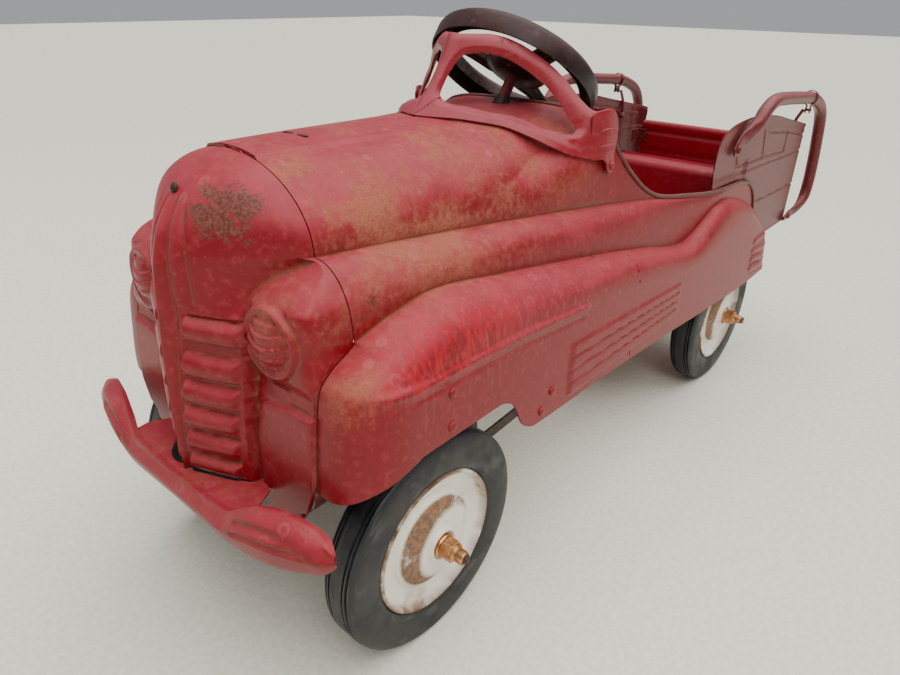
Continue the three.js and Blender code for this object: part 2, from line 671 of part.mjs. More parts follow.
function frontAxleBeam() {
  const beam = box(-104, 104, -6, 6, AXLE_Z - 6, AXLE_Z + 6);
  const forks = [1, -1].flatMap((side) => {
    const [x0, x1] = side > 0 ? [98, 123] : [-123, -98];
    const [c0, c1] = side > 0 ? [98, 102] : [-102, -98];
    return [
      box(x0, x1, -8, 8, FORK.top, FORK.top + FORK.tab),
      box(x0, x1, -8, 8, FORK.bottom - FORK.tab, FORK.bottom),
      box(c0, c1, -8, 8, FORK.bottom - 1, FORK.top + 1),
    ];
  });
  const holes = [1, -1].map((side) =>
    bar([side * KINGPIN_X, 0, 80], [side * KINGPIN_X, 0, 125], 8.8));
  return cut(join(beam, ...forks), ...holes);
}

// Strap from the fender side over the wheel and down to the beam.
function frontHanger() {
  const skin = FLANK_X - SHEET - GAP;
  return join(
    box(skin - 3, skin, -14, 14, 218, 266),
    box(86, skin - 0.5, -14, 14, 218, 221),
    box(84, 87, -14, 14, AXLE_Z + 6 + GAP, 221),
    box(70, 86, -14, 14, AXLE_Z + 6 + GAP, AXLE_Z + 9 + GAP),
  );
}

const ARM_Z = { low: 91, high: 95 };
const TIE_Z = { low: 96, high: 99.2 };

function spindle() {
  const boss = bar([KINGPIN_X, 0, FORK.bottom + GAP], [KINGPIN_X, 0, FORK.top - GAP], 15);
  const kingpin = bar([KINGPIN_X, 0, 82], [KINGPIN_X, 0, 122], 8);
  const head = bar([KINGPIN_X, 0, FORK.top + FORK.tab + GAP], [KINGPIN_X, 0, 122], 13);
  const stub = bar([KINGPIN_X, 0, AXLE_Z], [AXLE_TIP - 4, 0, AXLE_Z], AXLE_DIAMETER);
  const tip = new THREE.SphereGeometry(AXLE_DIAMETER / 2, 12, 8)
    .translate(AXLE_TIP - AXLE_DIAMETER / 2, 0, AXLE_Z);
  const arm = box(KINGPIN_X - 6, KINGPIN_X + 6, 4, STEER_ARM + 7, ARM_Z.low, ARM_Z.high);
  const pin = bar([KINGPIN_X, STEER_ARM, ARM_Z.low], [KINGPIN_X, STEER_ARM, TIE_Z.high + 4], 6);
  return join(boss, kingpin, head, stub, tip, arm, pin);
}

// The bar between the steering arms, with a slotted plate in its middle for the column's crank.
function tieRod() {
  const y = STEER_ARM;
  const plain = join(
    box(-KINGPIN_X, KINGPIN_X, y - 6, y + 6, TIE_Z.low, TIE_Z.high),
    ...[1, -1].map((s) => bar([s * KINGPIN_X, y, TIE_Z.low], [s * KINGPIN_X, y, TIE_Z.high], 15)),
    box(-16, 16, y - 17, y + 16, TIE_Z.low, TIE_Z.high),
  );
  const eyes = [1, -1].map((s) =>
    bar([s * KINGPIN_X, y, TIE_Z.low - 5], [s * KINGPIN_X, y, TIE_Z.high + 5], 7));
  const slot = box(-4.2, 4.2, y - 11, y + 10, TIE_Z.low - 5, TIE_Z.high + 5);
  return cut(plain, ...eyes, slot);
}

// Column rod, cranked at its foot; the crank's tail goes through the tie rod's slot.
const COLUMN_FOOT = -((COLUMN_TOP.z - 130) / Math.sin(COLUMN_SLOPE));
function steeringColumn() {
  const foot = new THREE.Vector3(...onColumn(COLUMN_FOOT));
  const down = new THREE.Vector3(0, Math.sin(COLUMN_SLOPE), -Math.cos(COLUMN_SLOPE));
  const tip = foot.clone().addScaledVector(down, CRANK_OFFSET);
  const tail = tip.clone().addScaledVector(columnDirection, -(tip.z - 88) / columnDirection.z);
  return bentBar([onColumn(9.5), foot.toArray(), tip.toArray(), tail.toArray()], 6.5, 8);
}

// Parts that turn about the column are built about +Z and leaned back onto the column's line.
const ontoColumn = (geometry) => geometry
  .rotateX(-(Math.PI / 2 - COLUMN_SLOPE)).translate(0, COLUMN_TOP.y, COLUMN_TOP.z);

function steeringWheel() {
  const rim = new THREE.LatheGeometry([[73, 12], [77, 16], [85, 16.5], [RIM_RADIUS, 11],
    [RIM_RADIUS, -6], [88, -6], [88, 10], [84, 14], [76, 13], [76, 2], [73, 2],
    [73, 12]].map(([r, z]) => new THREE.Vector2(r, z)), 28).rotateX(Math.PI / 2);
  const hub = new THREE.LatheGeometry([[3.8, -2], [20, -2], [31, 4], [31, 7], [19, 1],
    [3.8, 3], [3.8, -2]].map(([r, z]) => new THREE.Vector2(r, z)), 20).rotateX(Math.PI / 2);
  const spokes = [0, 1, 2].map((i) => {
    const shape = new THREE.Shape([[26, -15], [75, -12], [75, 12], [26, 15]]
      .map(([x, y]) => new THREE.Vector2(x, y)));
    return new THREE.ExtrudeGeometry(shape, { depth: 1.6, bevelEnabled: false })
      .translate(0, 0, 4).rotateY(-0.11).rotateZ(Math.PI / 2 + i * 2 * Math.PI / 3);
  });
  return ontoColumn(join(rim, hub, ...spokes));
}

function steeringWheelNut() {
  const dome = new THREE.LatheGeometry([[0, 14], [5, 13], [7, 10], [7, 3.4], [4.2, 3.4],
    [4.2, 10], [0, 11]].map(([r, z]) => new THREE.Vector2(r, z)), 12).rotateX(Math.PI / 2);
  return ontoColumn(dome);
}

// Guide bush where the column passes through the cowl.
function columnBush() {
  const ring = new THREE.LatheGeometry([[3.8, -24], [7.8, -24], [7.8, -14], [3.8, -14], [3.8, -24]]
    .map(([r, z]) => new THREE.Vector2(r, z)), 14).rotateX(Math.PI / 2).translate(0, 0, -12);
  return ontoColumn(ring);
}

// Yoke from the axle beam that holds the foot of the column.
function columnBracket() {
  const leg = [[6 + GAP, 104.5], [6 + GAP, 114], [58, 160], [72, 149], [20, 104.5]];
  const eye = COLUMN_FOOT + 26;
  const plain = join(
    sidePlate(leg, 30, 33),
    sidePlate(leg, -33, -30),
    box(-33, 33, 57, 77, 149, 153),
    bar(onColumn(eye - 8), onColumn(eye + 6), 15),
  );
  return cut(plain, bar(onColumn(COLUMN_FOOT + 4), onColumn(COLUMN_FOOT + 60), 7.4));
}

// ---------------------------------------------------------------- rear axle and pedal drive
function rearAxle() {
  const y = WHEELBASE;
  const z = AXLE_Z;
  const half = 9; // half width of each crank throw
  const route = [[AXLE_DIAMETER / 2 - AXLE_TIP, 0]];
  for (const [side, up] of [[-1, -1], [1, 1]]) {
    const near = side * THROW_X - half;
    const far = side * THROW_X + half;
    route.push([near, 0], [near, up * THROW], [far, up * THROW], [far, 0]);
  }
  route.push([AXLE_TIP - AXLE_DIAMETER / 2, 0]);
  return bentBar(route.map(([x, rise]) => [x, y, z + rise]), AXLE_DIAMETER, 8);
}

function rearHanger() {
  const top = SEAT.z - 1.5 - GAP;
  const plain = join(
    sidePlate([[604, 223], [614, 88], [630, 88], [638, 223]], 109, 112),
    box(109, 143, 604, 638, top - 3, top),
  );
  return cut(plain, bar([100, WHEELBASE, AXLE_Z], [120, WHEELBASE, AXLE_Z], 14));
}

function axleBush() {
  const profile = [[105.5, 5.2], [105.5, 9], [108.6, 9], [108.6, 6.2], [113, 6.2], [113, 5.2],
    [105.5, 5.2]];
  return turned(profile, 12).translate(0, WHEELBASE, AXLE_Z);
}

function pedalHangerBar() {
  const { y, z } = PEDAL_PIVOT;
  const skin = FLANK_X - SHEET - GAP;
  const foot = [[y - 20, z - 17], [y + 16, z - 17], [y + 20, z + 16], [y - 12, z + 16]];
  return join(
    bar([-skin + 1, y, z], [skin - 1, y, z], 9.5),
    sidePlate(foot, skin - 2.5, skin),
    sidePlate(foot, -skin, -skin + 2.5),
    ...[1, -1].map((s) => bar([s * 74.5, y, z], [s * 76.5, y, z], 15)),
    ...[1, -1].map((s) => bar([s * 88.5, y, z], [s * 90.5, y, z], 15)),
  );
}

function pedalArm() {
  const { y, z } = PEDAL_PIVOT;
  const low = z - PEDAL_LEVER;
  const blade = sidePlate([[y - 8, z], [y - 9, low], [y + 9, low], [y + 8, z]], 80, 83.5);
  const plain = join(
    blade,
    bar([77.5, y, z], [87.5, y, z], 16),
    bar([80, y, low], [83.5, y, low], 18, 16),
    bar([14, y, low + 6], [81, y, low + 6], 7),
  );
  return cut(plain, bar([70, y, z], [95, y, z], 10.3));
}

function pedalBlock() {
  const { y, z } = PEDAL_PIVOT;
  const axis = z - PEDAL_LEVER + 6;
  const outline = [[y - 8, axis - 22], [y + 8, axis - 22], [y + 10, axis - 18], [y + 10, axis + 18],
    [y + 8, axis + 22], [y - 8, axis + 22], [y - 10, axis + 18], [y - 10, axis - 18]];
  const ribs = [-14.2, -4.7, 4.7, 14.2].flatMap((dz) => [1, -1].map((face) =>
    box(15, 79, y + face * 10 - 2, y + face * 10 + 2, axis + dz - 2.4, axis + dz + 2.4)));
  return cut(join(sidePlate(outline, 16, 78), ...ribs), bar([0, y, axis], [90, y, axis], 8));
}

// Pedal rod: a flat strap from the crank throw to the pedal arm, an eye at each end.
function pedalRod(side) {
  const x0 = THROW_X - 2;
  const x1 = THROW_X + 1;
  const front = { y: PEDAL_PIVOT.y, z: PEDAL_PIVOT.z - PEDAL_LEVER };
  const back = { y: WHEELBASE, z: AXLE_Z + side * THROW };
  const eye = (at, diameter) => bar([x0, at.y, at.z], [x1, at.y, at.z], diameter, 16);
  const strap = sidePlate([[front.y, front.z - 6], [back.y, back.z - 7], [back.y, back.z + 7],
    [front.y, front.z + 6]], x0, x1);
  const solid = cut(
    join(strap, eye(front, 18), eye(back, 24)),
    bar([x0 - 5, front.y, front.z], [x1 + 5, front.y, front.z], 7.4),
    bar([x0 - 5, back.y, back.z], [x1 + 5, back.y, back.z], AXLE_DIAMETER + 1),
  );
  return side > 0 ? solid : mirrored(solid);
}

// ---------------------------------------------------------------- assembly
const car = new THREE.Group();
car.position.y = -MIDDLE_Y;

function place(name, geometry, material, offset = [0, 0, 0]) {
  const mesh = new THREE.Mesh(outward(geometry), material.clone());
  mesh.name = name;
  mesh.position.set(...offset);
  car.add(mesh);
  return mesh;
}

function placePair(name, geometry, material, offset = [0, 0, 0]) {
  place(`left_${name}`, geometry, material, offset);
  place(`right_${name}`, mirrored(geometry), material, [-offset[0], offset[1], offset[2]]);
}

place('main_body', mainBody(), RED);
place('nose_panel', nosePanel(), RED);
place('front_bumper', frontBumper(), RED);
place('windshield_frame', windshieldFrame(), FADED_RED);
placePair('windshield_fin', windshieldFin(1), FADED_RED);
place('seat_pan', seatPan(), RED);
place('rear_deck', rearDeck(), RED);
place('tailgate', tailgate(), RED);
placePair('side_panel', sidePanel(), BROWN_RED);
placePair('rail', sideRail(), BROWN_RED);
placePair('rail_clip', railClip(), BROWN_RED);
placePair('rail_stay', railStay(), BROWN_RED);
placePair('tailgate_tab', tailgateTab(), RED);

place('front_axle_beam', frontAxleBeam(), STEEL);
placePair('front_axle_hanger', frontHanger(), RED);
placePair('spindle', spindle(), STEEL);
place('tie_rod', tieRod(), STEEL);
place('steering_column', steeringColumn(), BROWN_RED);
place('column_bush', columnBush(), STEEL);
place('column_bracket', columnBracket(), STEEL);
place('steering_wheel', steeringWheel(), BROWN_RED);
place('steering_wheel_nut', steeringWheelNut(), STEEL);

for (const [end, y] of [['front', 0], ['rear', WHEELBASE]]) {
  placePair(`${end}_tyre`, tyre(), RUBBER, [0, y, AXLE_Z]);
  placePair(`${end}_wheel_disc`, wheelDisc(), CREAM, [0, y, AXLE_Z]);
  placePair(`${end}_axle_nut`, axleNut(), BRASS, [0, y, AXLE_Z]);
}

place('rear_crank_axle', rearAxle(), STEEL);
placePair('rear_hanger', rearHanger(), STEEL);
placePair('axle_bush', axleBush(), STEEL);
place('pedal_hanger_bar', pedalHangerBar(), STEEL);
placePair('pedal_arm', pedalArm(), STEEL);
placePair('pedal_block', pedalBlock(), RUBBER);
place('left_pedal_rod', pedalRod(1), STEEL);
place('right_pedal_rod', pedalRod(-1), STEEL);

export default car;
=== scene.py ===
import json
import math

import bmesh
import bpy
import numpy as np
from mathutils import Matrix, Vector


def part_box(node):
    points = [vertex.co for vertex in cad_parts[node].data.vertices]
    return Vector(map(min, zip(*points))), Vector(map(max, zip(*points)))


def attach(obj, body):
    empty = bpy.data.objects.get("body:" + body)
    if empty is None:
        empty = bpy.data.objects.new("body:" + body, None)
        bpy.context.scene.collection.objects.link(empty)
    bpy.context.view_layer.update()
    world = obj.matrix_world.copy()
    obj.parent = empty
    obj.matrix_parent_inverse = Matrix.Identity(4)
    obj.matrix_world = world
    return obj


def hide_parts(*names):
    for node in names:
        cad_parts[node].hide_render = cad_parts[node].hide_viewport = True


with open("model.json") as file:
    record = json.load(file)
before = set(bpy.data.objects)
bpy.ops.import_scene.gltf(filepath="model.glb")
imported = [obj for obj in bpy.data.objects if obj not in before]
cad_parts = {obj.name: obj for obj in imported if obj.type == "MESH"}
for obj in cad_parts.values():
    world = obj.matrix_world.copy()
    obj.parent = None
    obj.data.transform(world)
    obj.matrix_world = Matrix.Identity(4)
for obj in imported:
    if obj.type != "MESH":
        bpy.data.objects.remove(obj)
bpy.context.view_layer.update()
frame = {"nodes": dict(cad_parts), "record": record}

# ---------------------------------------------------------------- the car's own units
# Shapes are worked out in millimetres from the front axle, x to the car's left, z up.
tyre_low, tyre_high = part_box("left_front_tyre")
AXLE_Y = (tyre_low.y + tyre_high.y) / 2
AXLE_Z = (tyre_low.z + tyre_high.z) / 2 * 1000
WHEELBASE = (sum(c.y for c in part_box("left_rear_tyre")) / 2 - AXLE_Y) * 1000

SHEET = 1.8  # thickness of the body's pressed sheet
FLANK_X = 170  # half the width over the flat flanks
WALL_X = 150.5  # half the width of the cockpit's walls
SEAM_Y = -55  # where the hood meets the nose panel
HOOD_TOP = 419
SEAM_TOP = 305  # the seam runs in the open air from here down
SEAM_BOTTOM = 199
PANEL_X = 148.2  # inner face of the wagon's side panels
COLUMN_TOP = (284, 444)  # y and z of the steering wheel's hub
COLUMN_SLOPE = math.radians(53.5)
COLUMN_HOLE_RADIUS = 8.8


def placed(points):
    """Points in the car's millimetres as points of the shared frame, in metres."""
    points = np.asarray(points, float) / 1000
    return points + np.array([0, AXLE_Y, 0])


def lerp(a, b, t):
    return a + (b - a) * t


def clamp01(t):
    return np.clip(t, 0, 1)


def smooth(low, high, at):
    """0 below low, 1 above high, with a smooth change between them."""
    t = clamp01((np.asarray(at, float) - low) / (high - low))
    return t * t * (3 - 2 * t)


def ridge(distance, half_width):
    """A rounded bump: 1 on the line, 0 at half_width from it."""
    t = clamp01(np.abs(distance) / half_width)
    return (1 - t * t) ** 2


def through(knots):
    """A smooth function through (position, value) knots that never overshoots them."""
    at, value = (np.array(column, float) for column in zip(*knots))
    rise = np.diff(value) / np.diff(at)
    slope = np.empty(len(at))
    slope[0], slope[-1] = rise[0], rise[-1]
    before, after = rise[:-1], rise[1:]
    agree = before * after > 0
    slope[1:-1] = np.where(agree, 2 * before * after / np.where(agree, before + after, 1), 0)

    def curve(where):
        where = np.clip(np.asarray(where, float), at[0], at[-1])
        i = np.clip(np.searchsorted(at, where, side="right") - 1, 0, len(at) - 2)
        span = at[i + 1] - at[i]
        t = (where - at[i]) / span
        ease = t * t * (3 - 2 * t)
        hump = t * (1 - t) * span
        bend = (1 - t) * slope[i] - t * slope[i + 1]
        return lerp(value[i], value[i + 1], ease) + hump * bend

    return curve


def quarter(t, power):
    """Sine and cosine over a quarter turn, squared off by power."""
    angle = clamp01(t) * math.pi / 2
    return np.sin(angle) ** (2 / power), np.cos(angle) ** (2 / power)


def to_segment(px, py, a, b):
    """Distance from points to the segment a-b, and how far along it they lie (0 to 1)."""
    ax, ay = a
    dx, dy = b[0] - ax, b[1] - ay
    t = clamp01(((px - ax) * dx + (py - ay) * dy) / (dx * dx + dy * dy))
    return np.hypot(px - ax - t * dx, py - ay - t * dy), t


def to_path(px, py, path):
    """Distance from points to a polyline."""
    return np.min([to_segment(px, py, a, b)[0] for a, b in zip(path, path[1:])], axis=0)


# ---------------------------------------------------------------- mesh helpers
def linked(name, data):
    """A new object of the scene."""
    obj = bpy.data.objects.new(name, data)
    bpy.context.scene.collection.objects.link(obj)
    return obj


def assign(obj, body="chassis", replaces=(), slot=None):
    """The body a piece rides on and the CAD nodes it replaces. Its material slot is not used."""
    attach(obj, body)
    if replaces:
        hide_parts(*replaces)
    return obj


def new_object(name, vertices, faces, material, **where):
    """A smooth-shaded mesh piece on its body."""
    mesh = bpy.data.meshes.new(name)
    mesh.from_pydata([tuple(v) for v in vertices], [], [tuple(f) for f in faces])
    mesh.validate()
    obj = linked(name, mesh)
    mesh.materials.append(material)
    mesh.shade_smooth()
    return assign(obj, **where)


def grid_faces(rows, cols, closed_rows=False, closed_cols=False):
    """Quads of a grid of points, which may close on itself either way."""
    faces = []
    for r in range(rows if closed_rows else rows - 1):
        for c in range(cols if closed_cols else cols - 1):
            r2, c2 = (r + 1) % rows, (c + 1) % cols
            faces.append((r * cols + c, r2 * cols + c, r2 * cols + c2, r * cols + c2))
    return faces


def grid_normals(grid):
    """The surface's direction at each point of a grid."""
    along = np.gradient(grid, axis=0)
    across = np.gradient(grid, axis=1)
    normal = np.cross(along, across)
    return normal / np.maximum(np.linalg.norm(normal, axis=2, keepdims=True), 1e-9)


def apply_modifiers(obj):
    """Makes the modifiers' result the object's own mesh."""
    bpy.context.view_layer.update()
    graph = bpy.context.evaluated_depsgraph_get()
    final = bpy.data.meshes.new_from_object(obj.evaluated_get(graph))
    obj.modifiers.clear()
    obj.data = final
    return obj


def sharpen(obj, degrees):
    """Keeps edges that turn by more than this angle crisp."""
    obj.data.set_sharp_from_angle(angle=math.radians(degrees))


def clean_mesh(obj, degrees, weld=None):
    """Faces turned outwards, no loose points, smooth shading apart from sharp edges."""
    work = bmesh.new()
    work.from_mesh(obj.data)
    loose = [v for v in work.verts if not v.link_faces]
    bmesh.ops.delete(work, geom=loose, context="VERTS")
    if weld:
        bmesh.ops.remove_doubles(work, verts=work.verts, dist=weld)
    bmesh.ops.recalc_face_normals(work, faces=work.faces)
    work.to_mesh(obj.data)
    work.free()
    obj.data.shade_smooth()
    sharpen(obj, degrees)


def sheet(name, grid, thickness, material, drop=None, **where):
    """A pressed sheet from its outer face. drop(centres) says which faces are left out.

    The thickness is negative where the grid's faces look inwards."""
    rows, cols = grid.shape[:2]
    faces = grid_faces(rows, cols)
    flat = grid.reshape(-1, 3)
    if drop is not None:
        centres = flat[np.array(faces)].mean(axis=1)
        keep = ~drop(centres)
        faces = [f for f, k in zip(faces, keep) if k]
    obj = new_object(name, placed(flat), faces, material, **where)
    solidify = obj.modifiers.new("thickness", "SOLIDIFY")
    solidify.thickness = abs(thickness) / 1000
    solidify.offset = -1 if thickness > 0 else 1
    apply_modifiers(obj)
    clean_mesh(obj, 50)
    return obj


def resample(points, count):
    """count + 1 points spread evenly along a polyline."""
    step = np.linalg.norm(np.diff(points, axis=0), axis=1)
    along = np.concatenate([[0], np.cumsum(step)])
    want = np.linspace(0, along[-1], count + 1)
    return np.stack([np.interp(want, along, points[:, k]) for k in range(points.shape[1])], axis=1)


def sweep(name, route, radii, material, sides=20, closed=False, up=None, **where):
    """A tube along a route. radii is one radius, or the half widths across x and across z."""
    route = np.asarray(route, float)
    radii = np.broadcast_to(np.asarray(radii, float), (len(route), 2)) if np.ndim(radii) < 2 \
        else np.asarray(radii, float)
    tangent = np.gradient(route, axis=0)
    if closed:
        tangent = np.roll(route, -1, axis=0) - np.roll(route, 1, axis=0)
    tangent /= np.linalg.norm(tangent, axis=1, keepdims=True)
    if up is None:
        up = (1, 0, 0) if abs(tangent[0][0]) < 0.9 else (0, 0, 1)
    up = np.array(up, float)
    rings = []
    for point, t, (wide, tall) in zip(route, tangent, radii):
        side = up - t * (up @ t)
        side /= np.linalg.norm(side)
        up = side
        other = np.cross(t, side)
        for k in range(sides):
            angle = 2 * math.pi * k / sides
            rings.append(point + side * math.cos(angle) * wide + other * math.sin(angle) * tall)
    rows = len(route)
    faces = grid_faces(rows, sides, closed_rows=closed, closed_cols=True)
    if not closed:
        faces.append(tuple(range(sides)))
        faces.append(tuple((rows - 1) * sides + k for k in reversed(range(sides))))
    obj = new_object(name, placed(rings), faces, material, **where)
    clean_mesh(obj, 50)
    return obj


def smooth_route(points, per_span=8):
    """Catmull-Rom route through the points."""
    p = np.asarray(points, float)
    p = np.vstack([2 * p[0] - p[1], p, 2 * p[-1] - p[-2]])
    t = np.linspace(0, 1, per_span, endpoint=False)[:, None]
    out = []
    for a, b, c, d in zip(p, p[1:], p[2:], p[3:]):
        out.append(0.5 * (2 * b + (c - a) * t + (2 * a - 5 * b + 4 * c - d) * t ** 2
                          + (3 * b - a - 3 * c + d) * t ** 3))
    return np.vstack(out + [p[-2:-1]])


def lathe(name, profile, centre, material, axis="X", segments=96, **where):
    """A closed ring turned about an axis: profile in (along the axis, radius)."""
    profile = np.asarray(profile, float)
    rings = []
    for k in range(segments):
        angle = 2 * math.pi * k / segments
        c, s = math.cos(angle), math.sin(angle)
        for along, radius in profile:
            rings.append((along, radius * c, radius * s) if axis == "X" else
                         (radius * c, radius * s, along))
    obj = new_object(name, np.array(rings) * 0.001, grid_faces(
        segments, len(profile), closed_rows=True, closed_cols=True), material, **where)
    obj.data.transform(centre if isinstance(centre, Matrix) else
                       Matrix.Translation(Vector(placed(centre))))
    clean_mesh(obj, 40)
    return obj


def plate(name, outline, low, high, material, axis="X", bevel=0.6, holes=(), **where):
    """A flat plate with rounded edges. Its outline lies across the axis, from low to high."""
    curve = bpy.data.curves.new(name + "_outline", "CURVE")
    curve.dimensions = "2D"
    curve.fill_mode = "BOTH"
    for loop in (outline, *holes):
        spline = curve.splines.new("POLY")
        spline.points.add(len(loop) - 1)
        for point, (a, b) in zip(spline.points, loop):
            point.co = (a / 1000, b / 1000, 0, 1)
        spline.use_cyclic_u = True
    curve.extrude = (high - low) / 2000 - bevel / 1000
    curve.bevel_depth = bevel / 1000
    curve.bevel_resolution = 2
    curve.offset = -bevel / 1000
    source = linked(name + "_source", curve)
    bpy.context.view_layer.update()
    mesh = bpy.data.meshes.new_from_object(source.evaluated_get(
        bpy.context.evaluated_depsgraph_get()))
    bpy.data.objects.remove(source)
    middle = (low + high) / 2000
    if axis == "X":
        turn = Matrix(((0, 0, 1, middle), (1, 0, 0, AXLE_Y), (0, 1, 0, 0), (0, 0, 0, 1)))
    else:
        turn = Matrix(((1, 0, 0, 0), (0, 1, 0, AXLE_Y), (0, 0, 1, middle), (0, 0, 0, 1)))
    mesh.transform(turn)
    mesh.materials.clear()
    mesh.materials.append(material)
    obj = linked(name, mesh)
    clean_mesh(obj, 35, weld=1e-6)
    return assign(obj, **where)


def fillet(outline, radius, steps=5):
    """The outline with its corners rounded."""
    p = np.asarray(outline, float)
    out = []
    for before, corner, after in zip(np.roll(p, 1, axis=0), p, np.roll(p, -1, axis=0)):
        a, b = before - corner, after - corner
        la, lb = np.linalg.norm(a), np.linalg.norm(b)
        reach = min(radius, la * 0.45, lb * 0.45)
        start, end = corner + a / la * reach, corner + b / lb * reach
        for t in np.linspace(0, 1, steps):
            out.append((1 - t) ** 2 * start + 2 * t * (1 - t) * corner + t * t * end)
    return [tuple(q) for q in out]


def join_pieces(name, parts, body, replaces=(), slot=None, weld=None):
    """Several solids of one piece as one object, with points nearer than weld made one."""
    merged = bmesh.new()
    for part in parts:
        merged.from_mesh(part.data)
    if weld:
        bmesh.ops.remove_doubles(merged, verts=merged.verts, dist=weld)
    mesh = bpy.data.meshes.new(name)
    merged.to_mesh(mesh)
    merged.free()
    mesh.materials.append(parts[0].data.materials[0])
    for part in parts:
        bpy.data.objects.remove(part)
    return assign(linked(name, mesh), body, replaces, slot)


def mirror(obj, name, body, replaces=(), slot=None):
    """The right-hand copy of a left-hand piece."""
    mesh = obj.data.copy()
    mesh.transform(Matrix.Scale(-1, 4, (1, 0, 0)))
    mesh.flip_normals()
    return assign(linked(name, mesh), body, replaces, slot)


def rivet(name, place, outwards, radius, height, material, body="chassis"):
    """A domed rivet head on a surface."""
    n = 20
    rings = [(radius, -0.6), (radius, height * 0.35), (radius * 0.86, height * 0.75),
             (radius * 0.5, height), (0.02, height * 1.06)]
    turn = Vector(outwards).to_track_quat("Z", "Y").to_matrix()
    points = []
    for r, h in rings:
        for k in range(n):
            a = 2 * math.pi * k / n
            points.append(turn @ Vector((r * math.cos(a), r * math.sin(a), h)) + Vector(place))
    faces = grid_faces(len(rings), n, closed_cols=True)
    faces.append(tuple(range(n)))
    faces.append(tuple((len(rings) - 1) * n + k for k in reversed(range(n))))
    obj = new_object(name, placed([tuple(p) for p in points]), faces, material, body=body)
    clean_mesh(obj, 60)
    return obj


# ---------------------------------------------------------------- materials
class Nodes:
    """A small writer of shader nodes, for a new material by its name or for one that is there."""

    def __init__(self, material):
        if isinstance(material, str):
            material = bpy.data.materials.new(material)
            material.use_nodes = True
        self.material = material
        self.tree = self.material.node_tree
        self.shader = self.tree.nodes["Principled BSDF"]
        self.place = self.new("ShaderNodeTexCoord").outputs["Object"]

    def new(self, kind, inputs=None, **settings):
        node = self.tree.nodes.new(kind)
        for key, value in settings.items():
            setattr(node, key, value)
        for key, value in (inputs or {}).items():
            self.put(node.inputs[key], value)
        return node

    def put(self, socket, value):
        if isinstance(value, bpy.types.NodeSocket):
            self.tree.links.new(value, socket)
        else:
            socket.default_value = value

    def noise(self, scale, detail=4, roughness=0.55, stretch=None, distortion=0.0):
        place = self.place
        if stretch:
            place = self.new("ShaderNodeMapping", {"Vector": place, "Scale": stretch}).outputs[0]
        return self.new("ShaderNodeTexNoise", {
            "Vector": place, "Scale": scale, "Detail": detail, "Roughness": roughness,
            "Distortion": distortion}).outputs["Fac"]

    def cells(self, scale):
        """Distance to the nearest of many scattered points."""
        return self.new("ShaderNodeTexVoronoi", {
            "Vector": self.place, "Scale": scale}).outputs["Distance"]

    def step(self, value, low, high, to_low=0.0, to_high=1.0):
        """to_low where value is below low, to_high above high, with a smooth change between."""
        return self.new("ShaderNodeMapRange", {
            "Value": value, "From Min": low, "From Max": high, "To Min": to_low,
            "To Max": to_high}, interpolation_type="SMOOTHSTEP").outputs["Result"]

    def spots(self, scale, solid, gone, patch_scale, low, high):
        """Round spots, full within solid of their middles and nothing at gone, in patches."""
        return self.times(self.step(self.cells(scale), solid, gone, 1, 0),
                          self.step(self.noise(patch_scale, 3), low, high))

    def math(self, operation, a, b=0.0, clamp=False):
        return self.new("ShaderNodeMath", {0: a, 1: b}, operation=operation,
                        use_clamp=clamp).outputs[0]

    def times(self, *values):
        result = values[0]
        for value in values[1:]:
            result = self.math("MULTIPLY", result, value)
        return result

    def plus(self, *values):
        result = values[0]
        for value in values[1:]:
            result = self.math("ADD", result, value)
        return result

    def limit(self, value):
        return self.math("ADD", value, 0.0, clamp=True)

    def mix(self, share, a, b):
        a, b = ((*colour, 1) if isinstance(colour, tuple) else colour for colour in (a, b))
        return self.new("ShaderNodeMix", {"Factor": share, "A": a, "B": b},
                        data_type="RGBA").outputs["Result"]

    def split(self, vector):
        """X, Y and Z of a vector."""
        parts = self.new("ShaderNodeSeparateXYZ", {0: vector}).outputs
        return parts["X"], parts["Y"], parts["Z"]

    def near(self, centre, inner, outer, squash=(1, 1, 1)):
        """1 within inner mm of a point of the car, 0 beyond outer."""
        shift = tuple(-v / s for v, s in zip(placed([centre])[0], squash))
        moved = self.new("ShaderNodeMapping", {
            "Vector": self.place, "Location": shift, "Scale": tuple(1 / s for s in squash)})
        length = self.new("ShaderNodeVectorMath", {0: moved.outputs[0]}, operation="LENGTH")
        return self.step(length.outputs["Value"], inner / 1000, outer / 1000, 1, 0)

    def bump(self, height, distance=0.001, strength=1.0):
        node = self.new("ShaderNodeBump", {
            "Height": height, "Distance": distance, "Strength": strength})
        self.put(self.shader.inputs["Normal"], node.outputs["Normal"])

    def finish(self, colour, roughness, metallic=0.0):
        self.put(self.shader.inputs["Base Color"], colour)
        self.put(self.shader.inputs["Roughness"], roughness)
        self.put(self.shader.inputs["Metallic"], metallic)
        return self.material


RUST = (0.155, 0.055, 0.022)
LIGHT_RUST = (0.30, 0.098, 0.047)
DARK_RUST = (0.05, 0.022, 0.012)
PINKISH_RUST = (0.34, 0.10, 0.062)
RUBBED_RED = (0.42, 0.006, 0.016)
STREAK_PINK = (0.42, 0.10, 0.12)
PALE_SPECK = (0.42, 0.25, 0.2)


